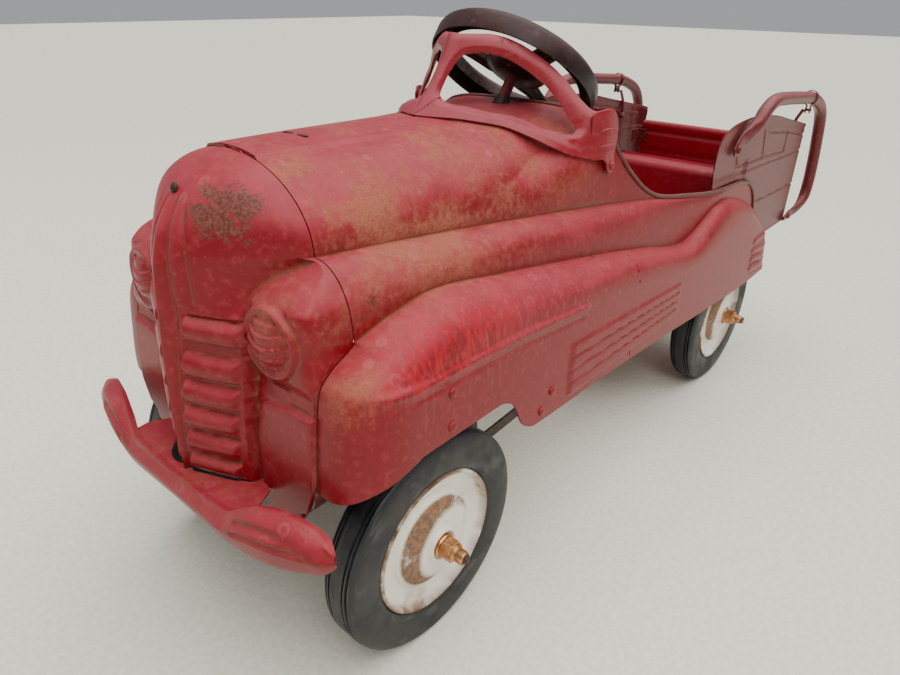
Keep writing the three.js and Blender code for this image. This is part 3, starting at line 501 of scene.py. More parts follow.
def enamel(name, deep, chalky, rust=1.0, chalk=1.0, patches=(), bright=(), streaks=()):
    """Old enamel: deep colour on protected faces, chalky and rust-freckled on upward ones.

    patches (rust bloom), bright (rubbed to fresh red) and streaks (run-down marks) are lists of
    places: a point of the car, an inner and an outer reach in mm, and how far each axis stretches.
    """
    n = Nodes(name)
    _, _, up = n.split(n.new("ShaderNodeTexCoord").outputs["Normal"])
    broad = n.noise(7, 3)
    cloudy = n.noise(26, 5, 0.6)
    fine = n.noise(160, 4, 0.6)
    grain = n.noise(650, 3, 0.6)
    exposed = n.step(n.plus(up, n.math("MULTIPLY", n.math("SUBTRACT", broad, 0.5), 0.9)), 0.05, 0.85)
    faded = n.limit(n.times(n.step(n.plus(n.times(exposed, 0.75), n.times(cloudy, 0.5)),
                                   0.28, 0.85), chalk))
    colour = n.mix(faded, deep, chalky)
    tone = n.step(n.noise(45, 5, 0.65, distortion=0.4), 0.3, 0.72)
    colour = n.mix(n.times(tone, 0.32), colour, tuple(c * 0.72 for c in deep))
    colour = n.mix(n.times(n.step(fine, 0.48, 0.72), 0.25), colour,
                   tuple(min(1, c * 1.25 + 0.02) for c in chalky))
    for centre, inner, outer, squash in bright:
        region = n.near(centre, inner, outer, squash)
        rubbed = n.noise(120, 4, 0.6, stretch=(2.2, 2.2, 0.16))
        mask = n.times(region, n.step(rubbed, 0.44, 0.6))
        colour = n.mix(n.times(mask, 0.8), colour, RUBBED_RED)
    for centre, inner, outer, squash in streaks:
        region = n.near(centre, inner, outer, squash)
        lines = n.noise(170, 3, 0.6, stretch=(1.6, 1.6, 0.09))
        colour = n.mix(n.times(region, n.step(lines, 0.52, 0.7), 0.28), colour, STREAK_PINK)
    # orange bloom where water lies, strongest on the upward faces
    bloom_noise = n.plus(n.times(n.noise(19, 4, 0.6), 0.62), n.times(fine, 0.38))
    bloom = n.times(n.step(n.plus(bloom_noise, n.times(exposed, 0.12)), 0.58, 0.76), exposed,
                    0.5 * rust)
    for centre, inner, outer, squash in patches:
        region = n.near(centre, inner, outer, squash)
        bloom = n.plus(bloom, n.times(region, n.step(bloom_noise, 0.38, 0.66)))
    bloom = n.limit(n.times(bloom, 0.8))
    bloom_colour = n.mix(n.step(grain, 0.35, 0.65), LIGHT_RUST, PINKISH_RUST)
    colour = n.mix(n.times(bloom, n.step(grain, 0.3, 0.6, 0.55, 1.0)), colour, bloom_colour)
    # freckles: small dark rusty pits, and a few large ones
    pits = n.step(n.cells(300), 0.06, 0.34, 1, 0)
    pit_mask = n.times(n.step(n.noise(46, 4, 0.7), 0.44, 0.62), n.step(exposed, 0.0, 0.7, 0.22, 1.0))
    pit_mask = n.limit(n.times(pits, pit_mask, rust))
    colour = n.mix(n.times(pit_mask, 0.9), colour, RUST)
    blots = n.spots(62, 0.05, 0.16, 31, 0.52, 0.62)
    colour = n.mix(n.times(blots, 0.55), colour, LIGHT_RUST)
    specks = n.spots(170, 0.03, 0.09, 60, 0.6, 0.68)
    colour = n.mix(n.times(specks, 0.7), colour, PALE_SPECK)
    # pale rings left by drops that dried
    drop = n.cells(48)
    rings = n.times(n.step(drop, 0.1, 0.16), n.step(drop, 0.22, 0.27, 1, 0), exposed,
                    n.step(n.noise(23, 3), 0.44, 0.56))
    colour = n.mix(n.times(rings, 0.3), colour, tuple(min(1, c * 1.3 + 0.06) for c in chalky))
    # rough bare metal along scraped places
    scraped = n.step(n.noise(15, 6, 0.7, distortion=0.6), 0.665, 0.7)
    colour = n.mix(n.times(scraped, 0.75), colour, DARK_RUST)
    # rust sits in the creases, and edges are rubbed bare
    crease = n.new("ShaderNodeNewGeometry").outputs["Pointiness"]
    in_crease = n.times(n.step(crease, 0.455, 0.487, 1, 0), n.step(cloudy, 0.3, 0.6, 0.35, 1.0))
    colour = n.mix(n.times(in_crease, 0.75), colour, RUST)
    on_edge = n.times(n.step(crease, 0.54, 0.6), n.step(fine, 0.45, 0.6))
    colour = n.mix(n.times(on_edge, 0.35), colour, RUST)
    roughness = n.limit(n.plus(0.3, n.times(faded, 0.16), n.times(bloom, 0.26),
                               n.times(pit_mask, 0.2), n.times(fine, 0.1)))
    height = n.plus(n.times(pit_mask, -0.5), n.times(bloom, grain, 0.3), n.times(fine, 0.12),
                    n.times(scraped, -0.4))
    n.bump(height, distance=0.00035, strength=0.55)
    n.shader.inputs["Specular IOR Level"].default_value = 0.3
    return n.finish(colour, roughness)


def bare_patch_enamel():
    """The nose: the body's enamel with one patch rubbed through to brown metal."""
    material = enamel("nose_enamel", (0.21, 0.0015, 0.008), (0.35, 0.03, 0.045), rust=0.7,
                      patches=[((95, -75, 335), 22, 48, (1, 1, 0.8))])
    n = Nodes(material)
    before = n.shader.inputs["Base Color"].links[0].from_socket
    region = n.near((42, -95, 388), 8, 42, (1.1, 1.1, 0.75))
    torn = n.step(n.plus(n.times(n.noise(42, 5, 0.65, distortion=0.8), 0.7),
                         n.times(n.noise(230, 4, 0.7), 0.3), n.times(region, 0.2)), 0.56, 0.66)
    mask = n.times(torn, n.step(region, 0.0, 0.4))
    brown = n.mix(n.step(n.noise(420, 3), 0.35, 0.65), (0.085, 0.028, 0.017), (0.18, 0.072, 0.05))
    n.put(n.shader.inputs["Base Color"], n.mix(n.times(mask, 0.85), before, brown))
    return material


def rubber_material(name, worn):
    """Rubber in near-black, dusted grey as far as worn says."""
    n = Nodes(name)
    fine = n.noise(420, 4, 0.6)
    dust = n.step(n.noise(34, 4, 0.65), 0.42, 0.7)
    rings = n.noise(90, 3, 0.5, stretch=(6, 0.4, 0.4))
    colour = n.mix(n.times(dust, worn), (0.005, 0.0055, 0.0065), (0.020, 0.021, 0.025))
    colour = n.mix(n.times(n.step(rings, 0.55, 0.7), 0.3), colour, (0.10, 0.10, 0.10))
    n.bump(n.plus(n.times(fine, 0.5), n.times(rings, 0.4)), distance=0.0004, strength=0.5)
    return n.finish(colour, n.plus(0.46, n.times(dust, 0.3)))


def cream_material():
    """Cream enamel with rust creeping in from the rim, in patches and in a crescent by the dome."""
    n = Nodes("cream_enamel")
    _, y, z = n.split(n.place)
    cloudy = n.noise(30, 5, 0.62)
    fine = n.noise(240, 4, 0.6)
    colour = n.mix(n.step(cloudy, 0.4, 0.75), (0.84, 0.80, 0.70), (0.70, 0.63, 0.53))
    distances = []
    for end in (AXLE_Y, AXLE_Y + WHEELBASE / 1000):
        dy = n.math("SUBTRACT", y, end)
        dz = n.math("SUBTRACT", z, AXLE_Z / 1000)
        distances.append(n.math("SQRT", n.plus(n.times(dy, dy), n.times(dz, dz))))
    radius = n.math("MINIMUM", *distances)
    edge = n.step(radius, 0.0595, 0.0668)
    patch_noise = n.noise(24, 4, 0.6, distortion=0.5)
    band = n.times(n.step(radius, 0.046, 0.06), n.step(patch_noise, 0.56, 0.68))
    centres = [(0, AXLE_Z), (WHEELBASE, AXLE_Z)]
    arcs = []
    for y0, z0 in centres:
        outer_arc = n.near((150, y0, z0), 40, 44, (8, 1, 1))
        inner_arc = n.near((150, y0 + 10, z0 - 6), 30, 40, (8, 1, 1))
        arcs.append(n.times(outer_arc, n.math("SUBTRACT", 1, inner_arc)))
    worn_through = n.step(n.plus(patch_noise, n.times(fine, 0.5)), 0.42, 0.84)
    side_arc = n.limit(n.times(1.5, n.plus(*arcs), worn_through))
    stain = n.limit(n.plus(n.times(edge, n.step(cloudy, 0.32, 0.55)), n.times(band, 0.5), side_arc))
    colour = n.mix(n.times(stain, 0.92), colour,
                   n.mix(n.step(fine, 0.4, 0.62), (0.085, 0.026, 0.006), (0.25, 0.088, 0.011)))
    core = n.times(edge, n.step(n.plus(patch_noise, n.times(fine, 0.2)), 0.62, 0.76))
    colour = n.mix(n.times(core, 0.85), colour, (0.10, 0.04, 0.016))
    specks = n.spots(210, 0.04, 0.15, 70, 0.55, 0.64)
    colour = n.mix(n.times(specks, 0.6), colour, (0.25, 0.12, 0.06))
    n.bump(n.plus(n.times(stain, fine, 0.5), n.times(fine, 0.1)), distance=0.0004, strength=0.5)
    return n.finish(colour, n.plus(0.36, n.times(stain, 0.35)))


def metal_material(name, bright, dull, metallic, base_roughness, rust):
    """Metal mottled from bright to dull, with spots of rust that are rougher and less metallic."""
    n = Nodes(name)
    cloudy = n.noise(90, 5, 0.62)
    fine = n.noise(520, 4, 0.6)
    colour = n.mix(n.step(cloudy, 0.36, 0.66), bright, dull)
    spots = n.limit(n.times(n.step(n.noise(170, 5, 0.65), 0.5, 0.62), rust))
    colour = n.mix(spots, colour, RUST)
    n.bump(n.plus(n.times(fine, 0.35), n.times(spots, 0.5)), distance=0.0003, strength=0.6)
    rough = n.plus(base_roughness, n.times(cloudy, 0.18), n.times(spots, 0.3))
    metal = n.step(spots, 0.1, 0.9, metallic, metallic * 0.25)
    return n.finish(colour, rough, metal)


DEEP_RED = (0.20, 0.0015, 0.0075)
CHALKY_RED = (0.34, 0.028, 0.042)


def both_sides(*places):
    """The places, and their like on the car's right."""
    mirrored = [((-x, y, z), *rest) for (x, y, z), *rest in places]
    return [*places, *mirrored]


RED = enamel(
    "red_enamel", DEEP_RED, CHALKY_RED,
    patches=[((70, -30, 392), 20, 60, (1, 1, 0.7)), ((150, -85, 285), 6, 34, (1, 1, 1)),
             *both_sides(((78, 90, 385), 40, 120, (0.8, 2.4, 0.7)),
                         ((112, 60, 338), 15, 60, (0.8, 3.2, 0.8)))],
    bright=both_sides(((166, -10, 296), 22, 62, (1, 2.0, 0.6))),
    streaks=both_sides(((166, 90, 288), 30, 120, (1, 2.2, 0.5))))
NOSE_RED = bare_patch_enamel()
PROTECTED_RED = enamel("protected_red_enamel", (0.26, 0.003, 0.013), (0.31, 0.022, 0.034),
                       rust=0.35, chalk=0.6)
FADED = enamel("faded_red_enamel", (0.25, 0.008, 0.017), (0.34, 0.05, 0.066), rust=0.3, chalk=1.0)
BROWNISH = enamel("brownish_red_enamel", (0.13, 0.013, 0.017), (0.235, 0.062, 0.06), rust=0.5)
DARK_BROWN = enamel("dark_brown_enamel", (0.012, 0.004, 0.0045), (0.042, 0.016, 0.015), rust=0.25)
BEAD_BROWN = enamel("worn_edge_enamel", (0.10, 0.022, 0.016), (0.16, 0.06, 0.04), rust=0.8)
TYRE = rubber_material("tyre_rubber", 0.85)
PEDAL_RUBBER = rubber_material("pedal_rubber", 0.35)
CREAM = cream_material()
BRASS = metal_material("coppery_brass", (0.78, 0.42, 0.20), (0.50, 0.21, 0.08), 1.0, 0.2, 0.5)
STEEL = metal_material("rusty_steel", (0.17, 0.145, 0.13), (0.10, 0.075, 0.06), 0.75, 0.42, 0.9)
GREASY = metal_material("greasy_dark_steel", (0.06, 0.05, 0.045), (0.03, 0.024, 0.02), 0.6, 0.4, 0.6)

# ---------------------------------------------------------------- body lines, as functions of y
FOOT_X = through([(-55, 89), (13, 96), (88, 102), (170, 110), (253, 117), (294, 121), (357, 130),
                  (392, 134), (445, 141), (514, 148), (560, WALL_X)])
FOOT_Z = through([(-55, 358), (13, 354), (88, 348), (170, 341), (253, 333), (294, 329), (357, 323),
                  (392, 318), (445, 309), (514, 300), (720, 296)])
HOOD_FULLNESS = through([(-55, 2.05), (100, 2.3), (180, 2.7), (260, 3.8), (320, 4.5)])
CATWALK_FULLNESS = 2.2
FENDER_X = through([(-55, 125), (-22, 127), (18, 129), (98, 132), (188, 136), (256, 139.5),
                    (338, 143.5), (440, 148), (497, WALL_X)])
FENDER_Z = through([(-55, 305), (-22, 316), (18, 323), (98, 313), (188, 300), (256, 290), (338, 276),
                    (440, 258), (470, 266), (497, 278), (520, 286), (548, 289), (580, 284),
                    (622, 272), (663, 250), (689, 230), (720, 206)])
FENDER_FULLNESS = 2.3
SHOULDER_Z = through([(-55, 272), (95, 268), (190, 264), (300, 250), (430, 232), (500, 236),
                      (560, 240), (660, 215), (720, 190)])
LOWER_EDGE = through([(-55, 219), (58, 219), (75, 212), (95, 180), (113, 172), (230, 169),
                      (393, 161), (498, 154), (669, 147), (720, 149)])
COCKPIT_START = 292
COCKPIT_END = 612
REAR_ARCH = through([(612, 298), (628, 296), (645, 288), (660, 275), (670, 259), (677, 236)])
COCKPIT_EDGE = through([(292, 412), (296, 399), (306, 379), (330, 354), (361, 332), (392, 320),
                        (445, 312), (514, 304), (600, 301), (612, 298)])


def tail_y(z):
    """y of the shell's slanting rear edge at height z."""
    return lerp(722, 700, clamp01((z - 150) / 63))


def lobe(start, end, power, first=0.0, dense=160):
    """Points of a superellipse quarter from start, crowned, to end, steep."""
    across, down = quarter(np.linspace(first, 1, dense), power)
    return np.stack([lerp(start[0], end[0], across), lerp(end[1], start[1], down)], axis=1)


def first_below(start, end, power, z):
    """Where on the lobe its height falls to z, as a share of the quarter."""
    share = clamp01((z - end[1]) / (start[1] - end[1]))
    return math.acos(share ** (power / 2)) / (math.pi / 2)


COLUMNS = {"hood": 72, "catwalk": 26, "fender": 34, "flank": 52}
COWL_COLUMN = 58  # the column of the grid that runs on as the cockpit's edge
COWL_DRIFT_START = 120


def section(y, open_top=False):
    """Points of the half section at y, from the hood's middle (or the cockpit's edge) down."""
    top = (0.0, HOOD_TOP)
    foot = (float(FOOT_X(y)), float(FOOT_Z(y)))
    valley = (float(FENDER_X(y)), float(FENDER_Z(y)))
    shoulder = (FLANK_X, float(SHOULDER_Z(y)))
    power = float(HOOD_FULLNESS(y))
    if open_top:
        edge = max(float(COCKPIT_EDGE(y)), foot[1] + 0.6)
        first = first_below(top, foot, power, edge)
        hood = resample(lobe(top, foot, power, first), COLUMNS["hood"] - COWL_COLUMN)
    else:
        # the columns drift so that one of them meets the cockpit's edge at the cowl
        whole = lobe(top, foot, power, dense=400)
        cowl = max(float(COCKPIT_EDGE(COCKPIT_START)), foot[1] + 6)
        split = int(np.argmin(np.abs(whole[:, 1] - cowl)))
        even = resample(whole, COLUMNS["hood"])
        pinned = np.vstack([resample(whole[:split + 1], COWL_COLUMN),
                            resample(whole[split:], COLUMNS["hood"] - COWL_COLUMN)[1:]])
        hood = lerp(even, pinned, float(smooth(COWL_DRIFT_START, COCKPIT_START, y)))
    catwalk = resample(lobe(foot, valley, CATWALK_FULLNESS), COLUMNS["catwalk"])[1:]
    fender = resample(lobe(valley, shoulder, FENDER_FULLNESS), COLUMNS["fender"])[1:]
    low = float(LOWER_EDGE(y))
    flank = np.stack([np.full(COLUMNS["flank"], FLANK_X),
                      np.linspace(shoulder[1], low, COLUMNS["flank"] + 1)[1:]], axis=1)
    return np.vstack([hood, catwalk, fender, flank])


seam_line = section(SEAM_Y)[:COLUMNS["hood"] + COLUMNS["catwalk"] + 1][::-1]
lower_seam = [(172, 108), (180, 120), (190, 126), (205, 127)]


def seam_x(z):
    """Half the width between the nose's seams at z."""
    low = through(lower_seam + [(SEAM_TOP, 125)])(z)
    high = np.interp(z, seam_line[:, 1], seam_line[:, 0])
    return np.where(np.asarray(z) < SEAM_TOP, low, high)


seam_y = through([(172, -98), (205, -98), (240, -95), (270, -91), (282, -87), (292, -76),
                  (SEAM_TOP, SEAM_Y), (HOOD_TOP, SEAM_Y)])

FIRST_FLAT = -35
SPEAR = [(-75, 280), (-27, 277), (28, 276), (93, 273), (186, 265)]
RUNNING_BOARD = [(166, 234), (400, 223), (408, 182), (167, 178)]
REAR_STRIPES = [((654, 210), (695, 211)), ((653, 195), (703, 192)), ((655, 181), (707, 176)),
                ((658, 167), (711, 161))]


def flank_relief(y, z):
    """How far the flank's pressings stand out, in millimetres."""
    out = np.zeros_like(y)
    spear_z = np.interp(y, [p[0] for p in SPEAR], [p[1] for p in SPEAR])
    reach = smooth(-84, -60, y) * smooth(192, 184, y)
    out += 2.6 * ridge(z - spear_z, 5.5) * reach
    out -= 1.0 * ridge(z - spear_z + 9.5, 3.4) * smooth(-70, -40, y) * smooth(190, 176, y)
    out += 1.2 * smooth(spear_z + 16, spear_z + 2, z) * smooth(-80, -66, y) * smooth(-20, -64, y)
    top = np.interp(y, [166, 400], [234, 223])
    bottom = np.interp(y, [167, 408], [178, 182])
    inside = smooth(164, 167.5, y) * smooth(406, 402, y)
    inside = inside * smooth(top + 1.2, top - 1.2, z) * smooth(bottom - 1.2, bottom + 1.2, z)
    share = (top - z) / np.maximum(top - bottom, 1)
    ribs = np.abs(((share * 4) % 1) - 0.5) * 2
    out += inside * (2.0 - 1.5 * smooth(0.72, 1.0, ribs))
    for a, b in REAR_STRIPES:
        distance, _ = to_segment(y, z, a, b)
        out += 1.5 * ridge(distance, 5.4)
        out -= 0.9 * ridge(distance - 7, 2.2)
    return out


def hood_relief(x, y):
    """The raised band down the middle of the hood, which fades towards the windshield."""
    edge = lerp(31, 40, clamp01((y - SEAM_Y) / 250))
    fade = smooth(190, -20, y)
    return 2.2 * smooth(edge + 1.8, edge - 1.8, np.abs(x)) * fade


def body_rows():
    """Rows of the half body grid, front to back, up to the cowl and then round the cockpit."""
    flat = section(FIRST_FLAT)
    seam = section(SEAM_Y)
    fender_start = COLUMNS["hood"] + COLUMNS["catwalk"]
    low = flat[-1, 1]
    rows = []
    for t in (1 - np.cos(np.linspace(0, 1, 26)[:-1] * math.pi / 2)):
        angle = t * math.pi / 2
        row = np.empty((len(flat), 3))
        upper = slice(0, fender_start + 1)
        row[upper, 0] = lerp(seam[upper, 0], flat[upper, 0], t)
        row[upper, 1] = lerp(SEAM_Y, FIRST_FLAT, t)
        row[upper, 2] = lerp(seam[upper, 1], flat[upper, 1], t)
        lower = slice(fender_start + 1, None)
        share = (flat[lower, 1] - low) / (flat[fender_start, 1] - low)
        start_z = lerp(SEAM_BOTTOM, SEAM_TOP, share)
        back = 1 - math.cos(angle)
        row[lower, 0] = lerp(seam_x(start_z), flat[lower, 0], math.sin(angle) ** 0.6)
        row[lower, 1] = lerp(seam_y(start_z), FIRST_FLAT, back)
        row[lower, 2] = lerp(start_z, flat[lower, 1], back)
        rows.append(row)
    return rows


def with_y(points, y):
    """Section points (x, z) as points of the car at y."""
    y = np.broadcast_to(y, len(points))
    return np.stack([points[:, 0], y, points[:, 1]], axis=1)


def relieved(grid, front=False):
    """The grid with its pressings raised along the surface's own direction."""
    normal = grid_normals(grid)
    outward = np.sign((normal[..., 0] * np.maximum(grid[..., 0], 1)
                       + normal[..., 2] * 60).mean()) or 1
    x, y, z = grid[..., 0], grid[..., 1], grid[..., 2]
    column = np.arange(grid.shape[1])[None, :]
    offset = 0 if front else COWL_COLUMN
    on_flank = smooth(COLUMNS["hood"] + COLUMNS["catwalk"] + 4 - offset,
                      COLUMNS["hood"] + COLUMNS["catwalk"] + 14 - offset, column)
    rise = flank_relief(y, z) * on_flank
    if front:
        rise = rise + hood_relief(x, y) * (column < COLUMNS["hood"] - 4)
    return grid + normal * outward * rise[..., None]


def build_body():
    """Hood, fenders, flanks and cockpit walls. Gives back the edges that the bead follows."""
    rows = body_rows()
    front_ys = np.concatenate([np.arange(FIRST_FLAT, COCKPIT_START, 3.0), [COCKPIT_START]])
    for y in front_ys:
        rows.append(with_y(section(y), y))
    front = relieved(np.array(rows), front=True)
    back_ys = np.concatenate([COCKPIT_START + 14 * np.linspace(0, 1, 10) ** 1.6,
                              np.arange(309, COCKPIT_END, 3.2),
                              np.arange(COCKPIT_END, 700, 3.2)])
    back = [with_y(section(y, open_top=True), y) for y in back_ys]
    tail = section(712, open_top=True)
    back.append(with_y(tail, tail_y(tail[:, 1])))
    back = relieved(np.array(back))
    back[0] = front[-1, COWL_COLUMN:]
    mirror_x = np.array([-1, 1, 1])
    whole_front = np.concatenate([front[:, :0:-1] * mirror_x, front], axis=1)
    column_top = np.array([0, *COLUMN_TOP], float)
    lean = np.array([0, math.cos(COLUMN_SLOPE), math.sin(COLUMN_SLOPE)])

    def in_hole(centres):
        away = centres - column_top
        off = away - (away @ lean)[:, None] * lean
        return np.linalg.norm(off, axis=1) < COLUMN_HOLE_RADIUS

    hood = sheet("body_hood", whole_front, -SHEET, RED, drop=in_hole)

    def behind_cockpit(centres):
        above = centres[:, 2] > REAR_ARCH(np.clip(centres[:, 1], COCKPIT_END, 677))
        return ((centres[:, 1] > COCKPIT_END) & (centres[:, 0] < WALL_X + 0.8)
                & (above | (centres[:, 1] > 677)))

    left = sheet("body_side", back, -SHEET, RED, drop=behind_cockpit)
    right = mirror(left, "body_side_right", "chassis")
    shell = join_pieces("body_shell", [hood, left, right], "chassis", ["main_body"], "red_paint",
                        weld=2e-5)
    shell.data.shade_smooth()
    sharpen(shell, 50)
    return back[:, 0], front[-1, :COWL_COLUMN + 1]


cockpit_line, cowl_line = build_body()

# ---------------------------------------------------------------- camera
CAMERA_PLACE = (0.44219, AXLE_Y - 0.32133, 0.52054)
CAMERA_DIRECTION = (-0.58177, 0.67234, -0.45772)
CAMERA_ROLL = math.radians(0.784)


def build_camera():
    """In front of the car on its left, just above its height, looking back and down."""
    data = bpy.data.cameras.new("camera")
    camera = linked("camera", data)
    data.sensor_width = 36
    data.lens = 26.86
    data.clip_start = 0.01
    data.clip_end = 50
    forward = Vector(CAMERA_DIRECTION).normalized()
    level = forward.cross(Vector((0, 0, 1))).normalized()
    right = (level * math.cos(CAMERA_ROLL)
             + level.cross(forward) * math.sin(CAMERA_ROLL)).normalized()
    axes = zip(right, right.cross(forward), -forward, CAMERA_PLACE)
    camera.matrix_world = Matrix((*axes, (0, 0, 0, 1)))
    bpy.context.scene.camera = camera


build_camera()


# ---------------------------------------------------------------- nose panel
NOSE_FRONT = through([(172, -133), (221, -134), (270, -132), (315, -129), (345, -125), (370, -118),
                      (385, -109.5), (399, -98.5), (409, -84), (415, -70), (HOOD_TOP, SEAM_Y)])
LOBE_FOOT = 358
lower_width = through([(172, 61), (250, 63.5), (285, 65), (305, 67), (330, 78), (LOBE_FOOT, 89)])
NOSE_FALL = 0.43
NOSE_FULLNESS = through([(300, 1.3), (365, 1.35), (400, 1.7), (HOOD_TOP, 1.9)])
POD_FRONT = through([(172, -99), (240, -96), (256, -95), (262, -92), (270, -90), (277, -94),
                     (282, -96), (330, -95), (340, -87), (348, -72), (354, -60), (358, SEAM_Y)])
POD_INNER = through([(172, 60), (256, 62), (266, 60), (282, 56), (307, 54), (330, 56), (345, 66),
                     (354, 78), (358, 86)])
HOLLOW_FRONT = through([(172, -95), (250, -93), (266, -88), (280, -84), (305, -78), (335, -68),
                        (352, -60), (358, SEAM_Y)])
SOFT_JOIN = 5
HEADLIGHT = (86, 306.5)


def smooth_min(a, b, reach=SOFT_JOIN):
    """The lesser of two, with a rounded join."""
    h = clamp01(0.5 + (b - a) / (2 * reach))
    return lerp(b, a, h) - reach * h * (1 - h)


def nose_width(z):
    """Half the width of the nose's rounded middle at z."""
    return np.where(z >= LOBE_FOOT, np.interp(z, seam_line[:, 1], seam_line[:, 0]), lower_width(z))


def nose_parts(x, z):
    """y of the nose's overlapping forms at x, z: dome, grille body, headlight pod and hollow."""
    edge_x = np.maximum(seam_x(z), 0.5)
    edge_y = seam_y(z)
    width = np.maximum(np.minimum(nose_width(z), edge_x), 0.5)
    power = NOSE_FULLNESS(z)
    fall = np.maximum(0, 1 - (x / width) ** power) ** (1 / power)
    dome = lerp(SEAM_Y, NOSE_FRONT(z), fall)
    grille = -smooth_min(-(NOSE_FRONT(z) + 1.5 + NOSE_FALL * x), -(SEAM_Y - 10 * (width - x)))
    body = lerp(grille, dome, clamp01((z - 310) / 40))
    rim = np.maximum(0, 1 - (x / edge_x) ** 9) ** (1 / 7)
    _, inner = quarter(1 - clamp01((x - POD_INNER(z) + 8) / 20), 2)
    pod = lerp(edge_y, POD_FRONT(z), rim * inner)
    r = np.hypot(x - HEADLIGHT[0], z - HEADLIGHT[1])
    boss = -103 + 0.1 * (x - HEADLIGHT[0]) + 32 * (1 - np.sqrt(np.maximum(0, 1 - (r / 37) ** 2)))
    pod = smooth_min(pod, np.where(r < 37, boss, edge_y), 7)
    hollow = lerp(edge_y, HOLLOW_FRONT(z), rim)
    return dome, body, pod, hollow


def nose_surface(x, z):
    """y of the nose panel's smooth outer face at x, z."""
    dome, body, pod, hollow = nose_parts(x, z)
    edge_x, edge_y = np.maximum(seam_x(z), 0.5), seam_y(z)
    lower = smooth_min(smooth_min(body, pod), hollow)
    return np.where(x >= edge_x - 0.01, edge_y, np.where(z >= LOBE_FOOT, dome, lower))


BARS = [(315, 295.5), (286.5, 266), (262, 243), (239, 220.5), (216.5, 198.5), (194.5, 179)]
EMBOSS_EDGE = [(60, 170), (60, 238), (63, 248), (70, 254), (80, 257), (100, 261), (128, 262)]


def nose_relief(x, z):
    """How far the nose's pressings stand forward, in millimetres."""
    out = np.zeros_like(x)
    ridge_edge = np.interp(z, [178, 250, 315, 327, 363, 396], [3.5, 7.5, 11.5, 10.5, 8.5, 5.5])
    below_screw = smooth(401, 388, z)
    out += below_screw * 2.4 * np.maximum(0, 1 - (x / ridge_edge) ** 2)
    out -= below_screw * 1.5 * ridge(x - ridge_edge, 2.3)
    second = np.interp(z, [321, 365, 396], [25, 22, 14])
    upper = smooth(319, 323, z) * smooth(400, 380, z)
    band = clamp01((x - ridge_edge) / np.maximum(second - ridge_edge, 1))
    out += upper * 1.3 * 4 * band * (1 - band)
    out -= upper * 1.5 * ridge(x - second, 2.4)
    left = np.interp(z, [180, 248, 273, 315], [5.5, 9.5, 12.5, 17.5])
    right = np.interp(z, [180, 259, 287, 315], [48, 56, 59.5, 62])
    _, body, pod, _ = nose_parts(x, z)
    in_front = np.where(z < LOBE_FOOT, smooth(-4.0, 0.0, pod - body), 0)
    in_grille = smooth(left - 1, left + 3, x) * smooth(right + 1, right - 3.5, x) * in_front
    level = z + 2.2 * (1 - ((x - 38) / 34) ** 2)
    in_grille = in_grille * smooth(317.5, 315, level) * smooth(177, 180, z)
    out -= 3.4 * in_grille
    for top, bottom in BARS:
        across = clamp01((top - level) / (top - bottom))
        out += in_grille * 7.6 * np.sqrt(np.maximum(0, 1 - (2 * across - 1) ** 2)) ** 1.15
        out -= in_grille * 0.9 * ridge(across - 0.74, 0.09)
    dx, dz = x - HEADLIGHT[0], z - HEADLIGHT[1]
    r = np.hypot(dx * 1.02, dz)
    out += 2.6 * ridge(r - 24.5, 3.6)
    out -= 0.8 * ridge(r - 29.5, 2.6)
    lens = smooth(22.5, 20.5, r)
    slat = ((dz - 0.012 * dx * dx + 24) / 8.2) % 1
    out += lens * (-1.8 + 2.6 * np.maximum(0, 1 - (r / 23) ** 2) + 2.1 * slat
                   * smooth(1.0, 0.82, slat))
    distance = to_path(x, z, EMBOSS_EDGE)
    edge_z = np.interp(x, [p[0] for p in EMBOSS_EDGE[1:]], [p[1] for p in EMBOSS_EDGE[1:]])
    inside = np.where((x > 60) & (z < edge_z), 1, 0)
    out += inside * 2.3 * smooth(0.4, 3.2, distance)
    out -= 1.1 * ridge(distance, 2.4) * smooth(125, 118, x)
    out -= 0.8 * ridge(seam_x(z) - x, 3.5) * smooth(0, 12, x)
    return out


def nose_grid():
    """The nose's face in rows from the top down, with its pressings raised."""
    zs = np.concatenate([np.arange(172, 400, 1.25), 400 + 18.9 * (1 - np.linspace(1, 0, 34) ** 1.7)])
    spread = np.linspace(0, 1, 112)
    spread = spread + 0.055 * np.sin(2 * math.pi * spread) * 0.6
    grid = []
    foot = through([(0, 179), (55, 178.5), (59, 172), (66, 160), (85, 157), (105, 164), (114, 171),
                    (121, 183), (126, 198)])
    for z in zs[::-1]:
        edge = max(float(seam_x(z)) - 0.5, 0.5)
        x = edge * spread
        height = np.full_like(x, z)
        if z < 215:
            height = lerp(foot(x), 215, (z - 172) / (215 - 172))
        y = nose_surface(x, height)
        y[-1] = float(seam_y(height[-1])) - 0.4
        air = 0.3 if z < HOOD_TOP - 1 else 1.2
        grid.append(np.stack([x, y - air, height], axis=1))
    grid = np.array(grid)
    normal = grid_normals(grid)
    normal *= np.where(normal[..., 1:2] > 0, -1, 1)
    x, z = grid[..., 0], grid[..., 2]
    at_lamp = smooth(42, 32, np.hypot(x - HEADLIGHT[0], z - HEADLIGHT[1]))[..., None]
    rise = nose_relief(x, z)[..., None]
    rise[:, -1] = 0
    grid = grid + rise * lerp(np.array([0, -1.0, 0]), normal, at_lamp)
    return np.concatenate([grid[:, :0:-1] * np.array([-1, 1, 1]), grid], axis=1)


sheet("nose_shell", nose_grid(), SHEET, NOSE_RED, replaces=["nose_panel"], slot="red_paint")


